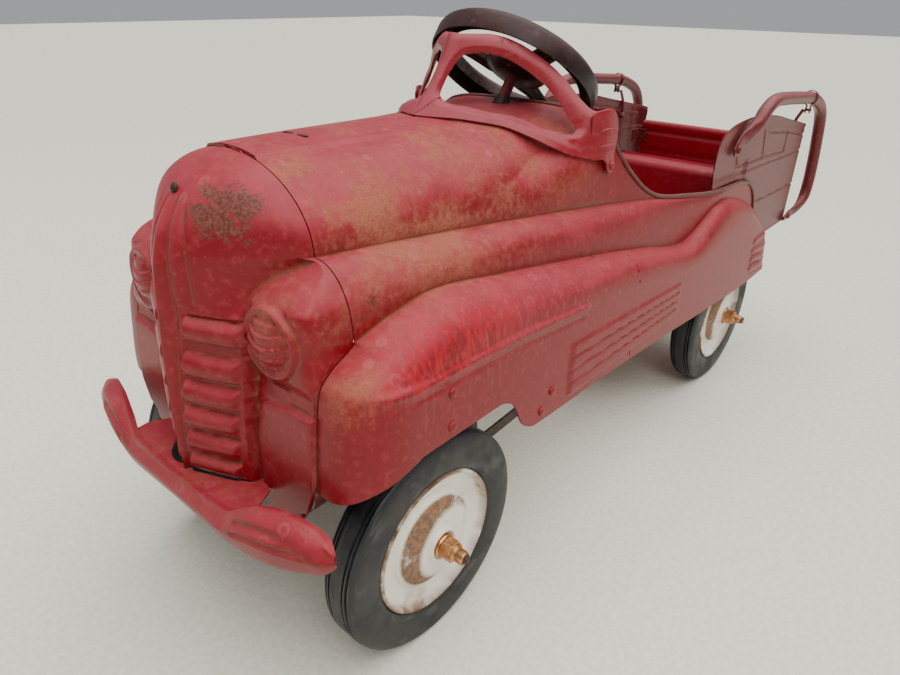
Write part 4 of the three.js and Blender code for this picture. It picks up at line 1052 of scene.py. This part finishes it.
def build_seam_strip():
    """The joint strip behind the seam, seen only as a rusty line."""
    heights = np.linspace(178, 304, 60)
    rows = [np.stack([np.full(12, float(seam_x(z)) - 2.3), float(seam_y(z)) + np.linspace(-2, 12, 12),
                      np.full(12, z)], axis=1) for z in heights]
    strip = sheet("left_seam_strip", np.array(rows), 0.7, BEAD_BROWN)
    mirror(strip, "right_seam_strip", "chassis")


build_seam_strip()

# ---------------------------------------------------------------- front bumper
BUMPER_HALF = 168
BUMPER_Y = through([(0, -146), (60, -146), (90, -144), (115, -140), (135, -135), (150, -130),
                    (160, -126), (168, -120)])
BUMPER_DEPTH = through([(0, 3), (65, 5), (90, 10), (120, 13), (150, 11), (168, 3)])
BUMPER_TOP = through([(0, 179), (70, 180), (85, 188), (100, 195), (122, 198), (140, 197), (155, 192),
                      (168, 188)])
BUMPER_BOTTOM = through([(0, 151), (90, 149), (118, 151), (138, 156), (152, 160), (168, 165)])


def build_bumper():
    """A channel with swelling, grooved ends, and the flat shelf behind it."""
    grid = []
    for x in BUMPER_HALF * np.sin(np.linspace(-1, 1, 225) * 1.35) / math.sin(1.35):
        a = abs(x)
        y, depth = float(BUMPER_Y(a)), float(BUMPER_DEPTH(a))
        top, bottom = float(BUMPER_TOP(a)), float(BUMPER_BOTTOM(a))
        rounded = math.sqrt(max(0.02, 1 - (max(0, a - 157) / 11.2) ** 2))
        middle, h = (top + bottom) / 2, (top - bottom) * rounded
        top, bottom = middle + h / 2, middle - h / 2
        small = min(1, h / 26)
        profile = smooth_route([
            (y + (depth + 4) * small, top - 0.04 * h), (y + (depth - 2) * small, top),
            (y + 1.5 * small, top - 0.13 * h), (y - 3 * small, top - 0.42 * h),
            (y - 2 * small, top - 0.66 * h), (y + 2 * small, bottom + 0.05 * h),
            (y + 8 * small, bottom)], 8)
        share = (top - profile[:, 1]) / (top - bottom)
        dent = 2.2 * ridge(share - 0.25, 0.085) * float(smooth(84, 87, a) * smooth(134, 122, a))
        dent += 2.4 * ridge(share - 0.47, 0.085) * float(smooth(82, 85, a) * smooth(154, 140, a))
        swell = 1.0 * ridge(share - 0.36, 0.1) * float(smooth(84, 90, a) * smooth(140, 128, a))
        grid.append(np.stack([np.full(len(profile), x), profile[:, 0] + dent - swell,
                              profile[:, 1]], axis=1))
    channel = sheet("bumper_channel", np.array(grid), -SHEET, RED)
    xs = np.linspace(-58, 58, 60)
    a = np.abs(xs)
    foot_y = nose_surface(a, np.full(60, 178.0)) - nose_relief(a, np.full(60, 181.0))
    gap = 1.2 + 7.5 * ridge(xs + 24, 22)
    inner = [(x, y - g) for x, y, g in zip(xs, foot_y, gap)]
    outline = [(-80, -142), (80, -142), (83, -122), (74, -105), (64, -100), *inner[::-1],
               (-64, -100), (-74, -105), (-83, -122)]
    apron = plate("bumper_apron", outline, 176.2, 178.0, RED, axis="Z", bevel=0.5)
    return join_pieces("bumper", [channel, apron], "chassis", ["front_bumper"], "red_paint")


sharpen(build_bumper(), 50)

# ---------------------------------------------------------------- windshield frame
BASE_Y = through([(0, 135), (29, 147), (40, 157), (52, 167), (67, 184), (87, 197), (102, 216),
                  (110, 234), (121, 266)])
BASE_Z = through([(0, 420.5), (29, 420.4), (40, 419), (52, 417), (67, 412.6), (87, 404.6),
                  (102, 393.6), (110, 385.6), (121, 377.6)])
TOP_Y = through([(0, 184), (12, 193), (26.5, 204), (38.5, 214), (52, 224), (64.5, 234), (77, 245),
                 (91.5, 253), (102.5, 258), (121, 264)])
TOP_Z = through([(0, 488), (26.5, 488.4), (38.5, 486), (52, 480), (64.5, 471), (77, 460),
                 (91.5, 445), (102.5, 432), (112, 424), (121, 421)])
WINDOW_LOW = [(12.5, 437), (20, 433.5), (38, 430), (71, 421), (95, 409.5), (103.5, 404.5)]
WINDOW_TIP = [(103.5, 404.5), (106, 404.8), (106.4, 407.5), (104.5, 411.5)]
WINDOW_HIGH = [(104.5, 411.5), (89, 432), (69, 452), (50, 466), (33, 472), (21, 472), (15, 470.5)]
WINDOW_MIDDLE = [(15, 470.5), (11.6, 466), (9.6, 458), (9, 447), (10, 440), (12.5, 437)]


def frame_point(x, z):
    """A point of the windshield frame's leaning, curved sheet at x, z."""
    a = np.abs(x)
    t = (z - BASE_Z(a)) / np.maximum(TOP_Z(a) - BASE_Z(a), 1)
    lean = t + 0.12 * np.sin(math.pi * clamp01(t))
    return np.stack([x, lerp(BASE_Y(a), TOP_Y(a), lean), z], axis=-1)


def build_windshield():
    """The left half as a ring of sheet round its window, mirrored to the right and welded."""
    base = [(x, float(BASE_Z(x))) for x in np.linspace(0, 119, 60)]
    top = [(x, float(TOP_Z(x))) for x in np.linspace(121, 0, 60)]
    tip = [base[-1], (121, base[-1][1] + 3), (121.5, 400), top[0]]
    spans = [(WINDOW_LOW, base, 64), (WINDOW_TIP, tip, 22), (WINDOW_HIGH, top, 72),
             (WINDOW_MIDDLE, [top[-1], base[0]], 40)]
    inner, outer = [], []
    for window, edge, count in spans:
        smooth_window = smooth_route(window, 12)
        inner.append(resample(smooth_window, count)[:-1])
        outer.append(resample(np.array(edge, float), count)[:-1])
    inner, outer = np.vstack(inner), np.vstack(outer)
    share = np.linspace(0, 1, 26)[None, :, None] ** 1.25
    flat = lerp(inner[:, None], outer[:, None], share)
    flat = np.concatenate([flat, flat[:1]])
    x, z = flat[..., 0], flat[..., 1]
    grid = frame_point(x, z)
    normal = grid_normals(grid)
    normal *= np.where(normal[..., 1:2] > 0, -1, 1)
    join = normal[0] + normal[-1]
    normal[0] = normal[-1] = join / np.linalg.norm(join, axis=-1, keepdims=True)
    window_loop = [tuple(p) for p in np.vstack([inner, inner[:1]])]
    top_loop = [tuple(p) for p in top]
    rise = -3.6 * (1 - clamp01(to_path(x, z, window_loop) / 6)) ** 2
    rise = rise - 3.6 * (1 - clamp01(to_path(x, z, top_loop) / 7)) ** 2
    rise = rise - 1.5 * ridge(z - BASE_Z(x) - 8, 4) * smooth(24, 60, x) * smooth(116, 100, x)
    rise = rise * smooth(0, 7, x) + 0.8 * ridge(x, 9)
    moved = grid + normal * rise[..., None]
    moved[..., 0] = np.where(x < 0.01, 0, moved[..., 0])
    left = sheet("windshield_left", moved, -2.0, FADED)
    right = mirror(left, "windshield_right", "chassis")
    press = join_pieces("windshield_press", [left, right], "chassis", ["windshield_frame"],
                        "faded_paint", weld=3e-4)
    press.data.shade_smooth()
    sharpen(press, 60)


build_windshield()


def build_fin():
    """The ribbed ear at the frame's foot, bent in to meet the frame."""
    outline = fillet([(257, 377), (256, 422), (270, 426), (283, 423), (291, 411), (292.5, 393),
                      (289, 381), (292, 370), (288, 361), (280, 363), (276, 374), (268, 379)], 6)
    blade = plate("fin_blade", outline, 121.8, 124.2, FADED, bevel=0.9)
    ribs = []
    for i, (a, b) in enumerate([((264, 405), (289, 404)), ((264, 390), (290.5, 389))]):
        route = [(124.0, *lerp(np.array(a), np.array(b), t)) for t in np.linspace(0, 1, 12)]
        size = 2.8 * np.sqrt(np.maximum(0.04, 1 - np.linspace(-1, 1, 12) ** 4))
        ribs.append(sweep(f"fin_rib_{i}", route, np.stack([size * 0.6, size], axis=1), FADED))
    fin = join_pieces("left_fin", [blade, *ribs], "chassis", ["left_windshield_fin"], "faded_paint")
    bend = bmesh.new()
    bend.from_mesh(fin.data)
    for y in np.arange(258, 276, 2.0):
        here = Vector(placed([(0, y, 0)])[0])
        bmesh.ops.bisect_plane(bend, geom=bend.verts[:] + bend.edges[:] + bend.faces[:],
                               plane_co=here, plane_no=(0, 1, 0))
    for vertex in bend.verts:
        y = (vertex.co.y - AXLE_Y) * 1000
        bent_in = 5.2 * float(smooth(276, 256, y)) ** 1.4 + 3.2 * float(smooth(265, 257, y))
        vertex.co.x -= bent_in / 1000
    bend.to_mesh(fin.data)
    bend.free()
    return fin


left_fin = build_fin()
mirror(left_fin, "right_fin", "chassis", ["right_windshield_fin"], "faded_paint")

# ---------------------------------------------------------------- seat, deck, tailgate and panels
def rounded_line(points, radius, steps=5):
    """An open polyline with its inner corners rounded."""
    p = np.asarray(points, float)
    out = [p[0]]
    for before, corner, after in zip(p, p[1:], p[2:]):
        a, b = before - corner, after - corner
        reach = min(radius, np.linalg.norm(a) * 0.45, np.linalg.norm(b) * 0.45)
        start = corner + a / np.linalg.norm(a) * reach
        end = corner + b / np.linalg.norm(b) * reach
        for t in np.linspace(0, 1, steps):
            out.append((1 - t) ** 2 * start + 2 * t * (1 - t) * corner + t * t * end)
    out.append(p[-1])
    return np.array(out)


def bent_sheet(name, profile, half_width, thickness, material, relief=None, **where):
    """A sheet bent to a profile in (y, z), the same all the way across the car."""
    line = rounded_line(profile, 5)
    count = max(12, int(np.linalg.norm(np.diff(line, axis=0), axis=1).sum() / 2.5))
    line = resample(line, count)
    xs = np.linspace(-half_width, half_width, 120)
    grid = np.stack([np.stack([np.full(len(line), x), line[:, 0], line[:, 1]], axis=1) for x in xs])
    if relief is not None:
        normal = grid_normals(grid)
        grid = grid + normal * relief(grid)[..., None]
    return sheet(name, grid, thickness, material, **where)


def seat_relief(grid):
    """A worn hollow in the seat, and a pressed line across its back."""
    x, y, z = grid[..., 0], grid[..., 1], grid[..., 2]
    worn = -2.2 * np.exp(-(x / 90) ** 2 - ((y - 530) / 60) ** 2)
    line = ridge(z - 244, 3) * smooth(636, 641, y) * smooth(648, 644, y)
    return worn - 1.2 * line


def build_back():
    """Seat, wagon floor and tailgate, each one bent sheet."""
    front, back, z, top = 430, 640, 226, 298
    bent_sheet("seat", [(front + 4, z - 26), (front, z - 22), (front, z - 5), (front + 5, z),
                        (back - 6, z), (back, z + 6), (back + 3, top - 6), (back + 9, top),
                        (back + 30, top), (back + 34, top - 4), (back + 34, top - 20)],
               145.6, 1.5, PROTECTED_RED, seat_relief, replaces=["seat_pan"], slot="red_paint")
    deck_z, rear = 262, 858
    start = back + 16

    def deck_relief(grid):
        x, y = grid[..., 0], grid[..., 1]
        ribs = sum(ridge(x - at, 6) for at in (-90, -45, 0, 45, 90))
        return 1.0 * ribs * smooth(start + 26, start + 34, y) * smooth(rear - 24, rear - 32, y) \
            * (grid[..., 2] > deck_z - 1)

    bent_sheet("deck", [(start, deck_z - 26), (start, deck_z - 4), (start + 4, deck_z),
                        (rear - 4, deck_z), (rear, deck_z - 4), (rear, deck_z - 20)],
               145.6, 1.5, PROTECTED_RED, deck_relief, replaces=["rear_deck"], slot="red_paint")
    y = rear + 3

    def gate_relief(grid):
        x, z = np.abs(grid[..., 0]), grid[..., 2]
        frame_line = np.minimum(np.abs(z - 222), np.abs(z - 256))
        inside = smooth(108, 104, x)
        side = ridge(x - 104, 2.6) * smooth(219, 222, z) * smooth(259, 256, z)
        return 1.3 * np.maximum(ridge(frame_line, 2.6) * inside, side)

    bent_sheet("gate", [(y, 196), (y, 262), (y + 2, 268), (y, 274), (y, 296), (y + 3, 300),
                        (y, 305), (y, 314), (y + 3, 317), (y + 9, 317), (y + 11, 314),
                        (y + 11, 308)], 124, -1.5, PROTECTED_RED, gate_relief,
               replaces=["tailgate"], slot="red_paint")


build_back()

PANEL_TOP = through([(503, 331), (505, 356), (522, 373), (555, 381), (600, 383), (683, 377),
                     (780, 360), (884, 340), (893, 338)])
PANEL_BOTTOM = through([(503, 329), (509, 307), (560, 305), (603, 303), (614, 285), (626, 250),
                        (640, 218), (660, 206), (695, 190), (893, 190)])
PANEL_LINES = [
    [(668, 358), (679, 320)], [(571, 350), (579, 326)], [(515, 315), (600, 313), (894, 303)],
    [(582, 324), (690, 321), (772, 316)], [(692, 256), (892, 250)], [(772, 318), (774, 344)],
    [(690, 354), (775, 344), (871, 327)],
    [(600, 299), (628, 297), (650, 286), (668, 268), (676, 240)]]
CORNER_Y, CORNER_RADIUS = 858, 26


def build_side_panel():
    """The wagon's side: a sheet with pressed lines, rolled round the rear corner."""
    def grid_row(u):
        s = lerp(503.2, 891, u)
        top, bottom = float(PANEL_TOP(s)), float(PANEL_BOTTOM(s))
        z = np.linspace(bottom, top, 96)
        slant = np.interp(z, [190, 330, 340], [-12, 0, -1]) * float(smooth(700, 891, s))
        along = s + slant
        out = np.zeros_like(z)
        for path in PANEL_LINES:
            distance = to_path(along, z, path)
            out += -1.3 * ridge(distance, 2.3) + 0.5 * ridge(distance - 3.6, 1.6)
        rim = np.minimum(top - z, z - bottom)
        out += 0.9 * ridge(rim - 1.8, 2.6)
        angle = np.maximum(0, along - CORNER_Y) / CORNER_RADIUS
        x = PANEL_X - 1.2 - CORNER_RADIUS * (1 - np.cos(angle)) + out * np.cos(angle)
        y = np.minimum(along, CORNER_Y) + CORNER_RADIUS * np.sin(angle) + out * np.sin(angle)
        return np.stack([x, y, z], axis=1)

    grid = np.array([grid_row(u) for u in np.linspace(0, 1, 200)])
    panel = sheet("left_panel", grid, 1.3, BROWNISH, replaces=["left_side_panel"],
                  slot="brown_paint")
    mirror(panel, "right_panel", "chassis", ["right_side_panel"], "brown_paint")


build_side_panel()

RAIL_X = 157.6
RAIL_RADIUS = 8.75


def build_rail():
    """A bent tube with flattened ends, bolted to the panel."""
    route = [(151.4, 549, 347), (151.4, 558, 350), (151.8, 572, 358), (154.4, 585, 366),
             (RAIL_X, 600, 378), (RAIL_X, 618, 391), (RAIL_X, 648, 400), (RAIL_X, 700, 398),
             (RAIL_X, 760, 393), (RAIL_X, 812, 388), (RAIL_X, 850, 379), (RAIL_X, 879, 366),
             (RAIL_X, 895, 347), (RAIL_X, 905, 320), (RAIL_X, 915, 285), (RAIL_X, 920.5, 245),
             (RAIL_X, 914, 220), (155.5, 898, 206), (152.4, 880, 200), (151.4, 864, 198),
             (151.4, 846, 196)]
    wide = [1.5, 2.5, 2.8, 5.2, 8.2] + [RAIL_RADIUS] * 11 + [8.2, 5.4, 2.8, 2.5, 1.5]
    tall = [5, 10, 11.5, 11, 9.4] + [RAIL_RADIUS] * 11 + [9.2, 9.4, 9.2, 8.6, 4]
    fine = smooth_route(np.column_stack([route, wide, tall]), 9)
    rail = sweep("left_rail_tube", fine[:, :3], fine[:, 3:], BROWNISH, sides=28)
    bolts = [rivet(f"rail_bolt_{i}", (153.8, y, z), (1, 0, 0), 5.2, 3.0, BROWNISH)
             for i, (y, z) in enumerate([(558, 350), (863, 198)])]
    whole = join_pieces("left_side_rail", [rail, *bolts], "chassis", ["left_rail"], "brown_paint")
    mirror(whole, "right_side_rail", "chassis", ["right_rail"], "brown_paint")


build_rail()


def build_clip():
    """The strap round the rail with its pin, and the wire stay below it."""
    centre = np.array([RAIL_X, 812, 388.0])
    lean = -0.13
    axis = np.array([0, math.cos(lean), math.sin(lean)])
    down = np.array([0, math.sin(lean), -math.cos(lean)])
    arc = [math.radians(a) for a in np.linspace(255, -75, 40)]
    loop = [(-3.0, 21), (-2.8, 16), *[(10.4 * math.cos(a), -10.4 * math.sin(a)) for a in arc],
            (2.8, 16), (3.0, 21)]
    route = [centre + np.array([1, 0, 0]) * x + down * d for x, d in loop]
    band = sweep("clip_band", route, np.tile([5.0, 0.75], (len(route), 1)), BROWNISH, up=axis)
    pin = sweep("clip_pin", [(RAIL_X - 4.4, 811, 371.5), (RAIL_X + 4.6, 811, 371.5)], 1.8, BROWNISH)
    clip = join_pieces("left_clip", [band, pin], "chassis", ["left_rail_clip"], "brown_paint")
    mirror(clip, "right_clip", "chassis", ["right_rail_clip"], "brown_paint")
    inside = PANEL_X - 1.9
    wire = sweep("stay_wire", smooth_route([
        (inside - 3, 810, 326), (inside - 4, 810.5, 340), (inside - 2, 811, 355),
        (RAIL_X - 8.5, 812, 367), (RAIL_X - 6.4, 812, 371)], 7), 2.4, BROWNISH)
    foot = plate("stay_foot", fillet([(800, 322), (820, 322), (820, 340), (800, 340)], 5),
                 inside - 2, inside, BROWNISH, bevel=0.5)
    nut = lathe("stay_nut", [(inside - 8, 0.1), (inside - 8, 4.4), (inside - 7, 5.2),
                             (inside - 2.4, 5.2), (inside - 2.4, 0.1)], (0, 810, 331),
                BROWNISH, segments=6)
    stay = join_pieces("left_stay", [wire, foot, nut], "chassis", ["left_rail_stay"], "brown_paint")
    mirror(stay, "right_stay", "chassis", ["right_rail_stay"], "brown_paint")


build_clip()

# ---------------------------------------------------------------- cockpit bead, rivets and screw
def build_bead():
    """The rolled edge round the cockpit."""
    side = cockpit_line[cockpit_line[:, 1] < 606][::3]
    arch = [(WALL_X, y, float(REAR_ARCH(y))) for y in np.linspace(614, 677, 14)]
    side = np.vstack([side, arch])
    whole = np.vstack([side[::-1], cowl_line[::-1][1::3], (cowl_line * [-1, 1, 1])[1::3],
                       side * [-1, 1, 1]])
    bead = sweep("cockpit_bead", resample(whole, 520), 2.5, BEAD_BROWN, sides=12)


build_bead()

RIVET_PLACES = [(-2, 259), (-2, 229), (137, 197), (122, 182)]
SLOT_PLACE, SLOT_HALF_SIZE = (9, 3), (6.5, 2.2)
for side, word in ((1, "left"), (-1, "right")):
    for number, (y, z) in enumerate(RIVET_PLACES):
        rivet(f"{word}_flank_rivet_{number}", (side * FLANK_X, y, z), (side, 0, 0), 4.7, 1.9, RED)
    rivet(f"{word}_fin_rivet", (side * 124.1, 286, 370), (side, 0, 0), 4.2, 2.2, FADED)
    # the hood's slots, as thin dark ovals lying on it: painted shade standing in for the dark inside
    # of the openings
    oval = [(side * SLOT_PLACE[0] + SLOT_HALF_SIZE[0] * math.cos(t),
             SLOT_PLACE[1] + SLOT_HALF_SIZE[1] * math.sin(t))
            for t in np.linspace(0, 2 * math.pi, 25)[:-1]]
    plate(f"{word}_hood_slot_shade", oval, HOOD_TOP + 1.6, HOOD_TOP + 2.5, DARK_BROWN,
          axis="Z", bevel=0.2)
rivet("nose_screw", (0, -101.6, 399), (0, -0.86, 0.5), 3.6, 2.2, DARK_BROWN)

# ---------------------------------------------------------------- wheels
TYRE_OUTER = 156
TYRE_INNER = 122
WHEEL_RADIUS = 101.6


def tyre_profile():
    """Half the tyre's section from its outer bead to the tread's middle, then mirrored."""
    middle = (TYRE_OUTER + TYRE_INNER) / 2
    half = [(14.2, 67.4), (14.9, 68.6), (16.0, 73), (16.7, 80), (17.0, 87), (16.8, 92.5),
            (16.0, 96.2), (14.9, 98.6), (13.6, 100.2), (12.4, 100.9), (11.9, 100.0), (11.7, 98.7),
            (11.0, 98.5), (10.7, 99.8), (10.2, 101.3), (8.6, 101.45), (8.2, 100.3), (8.0, 99.3),
            (7.3, 99.2), (7.0, 100.2), (6.5, 101.55), (3.0, WHEEL_RADIUS), (0.0, WHEEL_RADIUS)]
    outer = [(middle + along, radius) for along, radius in half]
    inner = [(middle - along, radius) for along, radius in half[-2::-1]]
    return outer + inner


DISC_PROFILE = [
    (126, 5.3), (126, 13), (131, 20), (127, 60), (127, 67), (152.6, 67), (154.4, 66.6), (155, 65.6),
    (154.8, 64.4), (153.4, 63.4), (150, 62.6), (148, 61.4), (147.2, 59), (146.8, 54), (146.2, 50),
    (145.4, 47.8), (145.2, 46.6), (146, 45.8), (148.2, 44.8), (150.4, 42), (152.4, 38), (154.4, 32),
    (156, 25), (156.8, 19), (157, 17), (158, 16.4), (160.4, 15.8), (161, 14.8), (161, 13.4),
    (160, 12.6), (157.4, 12.4), (156.8, 11.4), (156.8, 5.3)]


def build_axle_nut(name, centre, body, node):
    """Washer, hexagon nut and stepped end on the axle."""
    washer = lathe("washer", [(157.2, 5.3), (157.2, 10.6), (161.6, 10.9), (162.6, 10.2),
                              (162.6, 5.3)], centre, BRASS, segments=48)
    hexagon = lathe("hexagon", [(162.2, 5.3), (162.2, 9.2), (163, 10.4), (172.2, 10.4),
                                (173.4, 9.2), (173.4, 5.3)], centre, BRASS, segments=6)
    collar = lathe("collar", [(173, 5.2), (173, 7.9), (174.2, 8.2), (175.4, 7.2), (176.6, 6.3),
                              (182.4, 6.1), (184.4, 5.6), (184.6, 4.9), (178, 4.9)],
                   centre, BRASS, segments=40)
    whole = join_pieces(name, [washer, hexagon, collar], body, [node], "brass")
    sharpen(whole, 28)
    return whole


def build_wheels():
    """Tyre, disc and nut at each corner. The left rear wheel turns with its axle."""
    for end, y in (("front", 0), ("rear", WHEELBASE)):
        for word, side in (("left", 1), ("right", -1)):
            corner = f"{word}_{end}"
            body = "crank_axle" if corner == "left_rear" else f"{corner}_wheel"
            nut_body = f"{word}_steered_axle" if end == "front" else "crank_axle"
            flip = np.array([side, 1])
            centre = (0, y, AXLE_Z)
            tyre = lathe(f"{corner}_rubber", np.array(tyre_profile()) * flip, centre, TYRE,
                         segments=144, body=body, replaces=[f"{corner}_tyre"], slot="tyre")
            sharpen(tyre, 60)
            disc = lathe(f"{corner}_disc", np.array(DISC_PROFILE) * flip, centre, CREAM,
                         segments=144, body=body, replaces=[f"{corner}_wheel_disc"],
                         slot="cream_paint")
            sharpen(disc, 60)
            nut = build_axle_nut(f"{corner}_nut", centre, nut_body, f"{corner}_axle_nut")
            if side < 0:
                nut.data.transform(Matrix.Scale(-1, 4, (1, 0, 0)))
                nut.data.flip_normals()


build_wheels()

# ---------------------------------------------------------------- steering wheel and column
def on_column(points):
    """Points built about +Z, leaned back onto the column with its top at the origin."""
    points = np.asarray(points, float)
    x, y, z = points[..., 0], points[..., 1], points[..., 2]
    rise, run = math.sin(COLUMN_SLOPE), math.cos(COLUMN_SLOPE)
    return np.stack([x, COLUMN_TOP[0] + y * rise + z * run, COLUMN_TOP[1] - y * run + z * rise], -1)


COLUMN_MATRIX = (Matrix.Translation(Vector(placed((0, *COLUMN_TOP))))
                 @ Matrix.Rotation(COLUMN_SLOPE - math.pi / 2, 4, "X"))


def build_steering_wheel():
    """Rim, dished hub and three spokes, the nut on top and the sleeve below."""
    rim = lathe("wheel_rim", [
        (2, 72.6), (11, 72.6), (14.2, 73.8), (15.9, 76), (16.5, 79), (16.5, 83), (15.6, 86),
        (13.2, 88.6), (9.5, 90), (-4.6, 90), (-6, 89.6), (-6, 88.4), (9, 88.4), (12.3, 87),
        (14.2, 84.6), (15, 82), (15, 79.4), (14.4, 77), (12.8, 75), (10.4, 74), (2, 74)],
        COLUMN_MATRIX, DARK_BROWN, axis="Z", segments=160)
    hub = lathe("wheel_hub", [
        (-2.4, 3.8), (-2.4, 18), (-1.4, 21), (3.4, 31), (6.4, 34), (7.6, 34.2), (8, 33.4), (6.4, 32),
        (3.6, 27), (0.8, 20.6), (0.2, 17), (1.2, 12), (3, 8), (3, 3.8)], COLUMN_MATRIX, DARK_BROWN,
        axis="Z", segments=96)
    spokes = []
    for i in range(3):
        turn = math.pi / 2 + i * 2 * math.pi / 3
        rows = []
        for r in np.linspace(25, 76, 40):
            half = lerp(17, 11.5, float(smooth(22, 55, r))) + 3.5 * float(smooth(62, 76, r))
            across = np.linspace(-1, 1, 24)
            height = 3.2 + 0.105 * r + 1.6 * (1 - across ** 2) - 2.6 * smooth(0.8, 1, np.abs(across))
            rib_reach = float(smooth(30, 38, r) * smooth(72, 64, r))
            height += 0.9 * ridge(np.abs(across) - 0.45, 0.22) * rib_reach
            side = across * half
            rows.append(np.stack([r * math.cos(turn) - side * math.sin(turn),
                                  r * math.sin(turn) + side * math.cos(turn), height], axis=1))
        spokes.append(sheet(f"wheel_spoke_{i}", on_column(np.array(rows)), 1.3, DARK_BROWN))
    wheel = join_pieces("steering_wheel_fine", [rim, hub, *spokes], "steering", ["steering_wheel"],
                        "brown_paint")
    sharpen(wheel, 45)
    lathe("wheel_cap_nut", [(3.3, 0.1), (3.3, 7.4), (4.2, 8), (8.6, 8), (9.6, 7.3), (12, 6),
                            (13.5, 3.6), (14.2, 0.1)], COLUMN_MATRIX, STEEL, axis="Z", segments=40,
          body="steering", replaces=["steering_wheel_nut"], slot="bare_steel")
    sleeve = [(-64, 0.1), (-64, 5.4), (-62, 5.9), (-6, 5.9), (-2.6, 6.6), (-2.6, 0.1)]
    lathe("column_sleeve", sleeve, COLUMN_MATRIX, BROWNISH, axis="Z", segments=32,
          body="steering", slot="brown_paint")


build_steering_wheel()


def build_column():
    """The bent rod from the hub down to its crank and tail."""
    crank = 22.7
    foot = -((COLUMN_TOP[1] - 130) / math.sin(COLUMN_SLOPE))
    top = on_column([(0, 0, 9.5), (0, 0, foot), (0, crank, foot)])
    tip = top[-1]
    length = (tip[2] - 88) / math.sin(COLUMN_SLOPE)
    tail = tip - np.array([0, math.cos(COLUMN_SLOPE), math.sin(COLUMN_SLOPE)]) * length
    route = resample(rounded_line([*top, tail], 7, 9), 220)
    sweep("column_rod", route, 3.2, BROWNISH, body="steering", replaces=["steering_column"],
          slot="brown_paint")


build_column()

# ---------------------------------------------------------------- axles, pedals and hangers
def build_crank_axle():
    """The rear axle with its two throws, one up and one down."""
    throw, throw_x, half, end = 35, 87, 9, 187.6
    route = [(-end, 0)]
    for side, up in ((-1, -1), (1, 1)):
        near, far = side * throw_x - half, side * throw_x + half
        route += [(near, 0), (near, up * throw), (far, up * throw), (far, 0)]
    route.append((end, 0))
    line = rounded_line([(x, WHEELBASE, AXLE_Z + rise) for x, rise in route], 5, 7)
    line = resample(line, 460)
    sweep("crank_axle_rod", line, 4.7, STEEL, sides=16, body="crank_axle",
          replaces=["rear_crank_axle"], slot="bare_steel", up=(0, 1, 0))


build_crank_axle()

# the CAD nodes that stay visible take the material of their slot, apart from three parts that sit in
# shade and get painted shade
SLOT_MATERIALS = {"red_paint": PROTECTED_RED, "faded_paint": FADED, "brown_paint": BROWNISH,
                  "cream_paint": CREAM, "tyre": TYRE, "pedal_rubber": PEDAL_RUBBER, "brass": BRASS,
                  "bare_steel": GREASY}
node_slots = {row["node"]: row["material_slot"] for row in frame["record"]["subparts"]}
for node_name, node in frame["nodes"].items():
    if not node.hide_render:
        node.data.materials.clear()
        # painted shade: the tailgate tabs and the column bracket sit in shade and take the darker
        # brownish enamel
        painted_shade = node_name in ("left_tailgate_tab", "right_tailgate_tab", "column_bracket")
        node.data.materials.append(BROWNISH if painted_shade else SLOT_MATERIALS[node_slots[node_name]])


# ---------------------------------------------------------------- lights and stage
def area_light(name, place, target, size, power, colour=(1, 1, 1)):
    """A rectangular lamp aimed at a point."""
    data = bpy.data.lights.new(name, "AREA")
    data.shape = "RECTANGLE"
    data.size, data.size_y = size
    data.energy = power
    data.color = colour
    light = linked(name, data)
    light.location = place
    aim = Vector(target) - Vector(place)
    light.rotation_mode = "QUATERNION"
    light.rotation_quaternion = aim.to_track_quat("-Z", "Y")


def build_stage():
    """A pale floor, an even light from above, a pale world, and two weak lamps in front."""
    n = Nodes("pale_floor")
    speckle = n.noise(160, 5, 0.6)
    colour = n.mix(n.step(speckle, 0.35, 0.65), (0.70, 0.685, 0.56), (0.78, 0.765, 0.64))
    n.bump(speckle, distance=0.001, strength=0.3)
    material = n.finish(colour, 0.9)
    mesh = bpy.data.meshes.new("floor")
    mesh.from_pydata([(-12, -12, 0), (12, -12, 0), (12, 12, 0), (-12, 12, 0)], [], [(0, 1, 2, 3)])
    mesh.materials.append(material)
    floor = linked("floor", mesh)
    world = bpy.data.worlds.new("world")
    bpy.context.scene.world = world
    world.use_nodes = True
    background = world.node_tree.nodes["Background"].inputs
    background["Color"].default_value = (0.88, 0.9, 0.93, 1)
    background["Strength"].default_value = 0.43
    overhead = bpy.data.lights.new("ceiling", "SUN")
    overhead.energy = 3.7
    overhead.angle = 1.3
    ceiling = linked("ceiling", overhead)
    ceiling.rotation_euler = (math.radians(-14), math.radians(8), 0)
    area_light("key", (1.3, -1.2, 1.9), (0, -0.2, 0.3), (1.0, 1.0), 20, (1, 0.98, 0.95))
    area_light("fill", (-1.6, -1.4, 1.2), (0, -0.3, 0.3), (1.4, 1.4), 5)


build_stage()
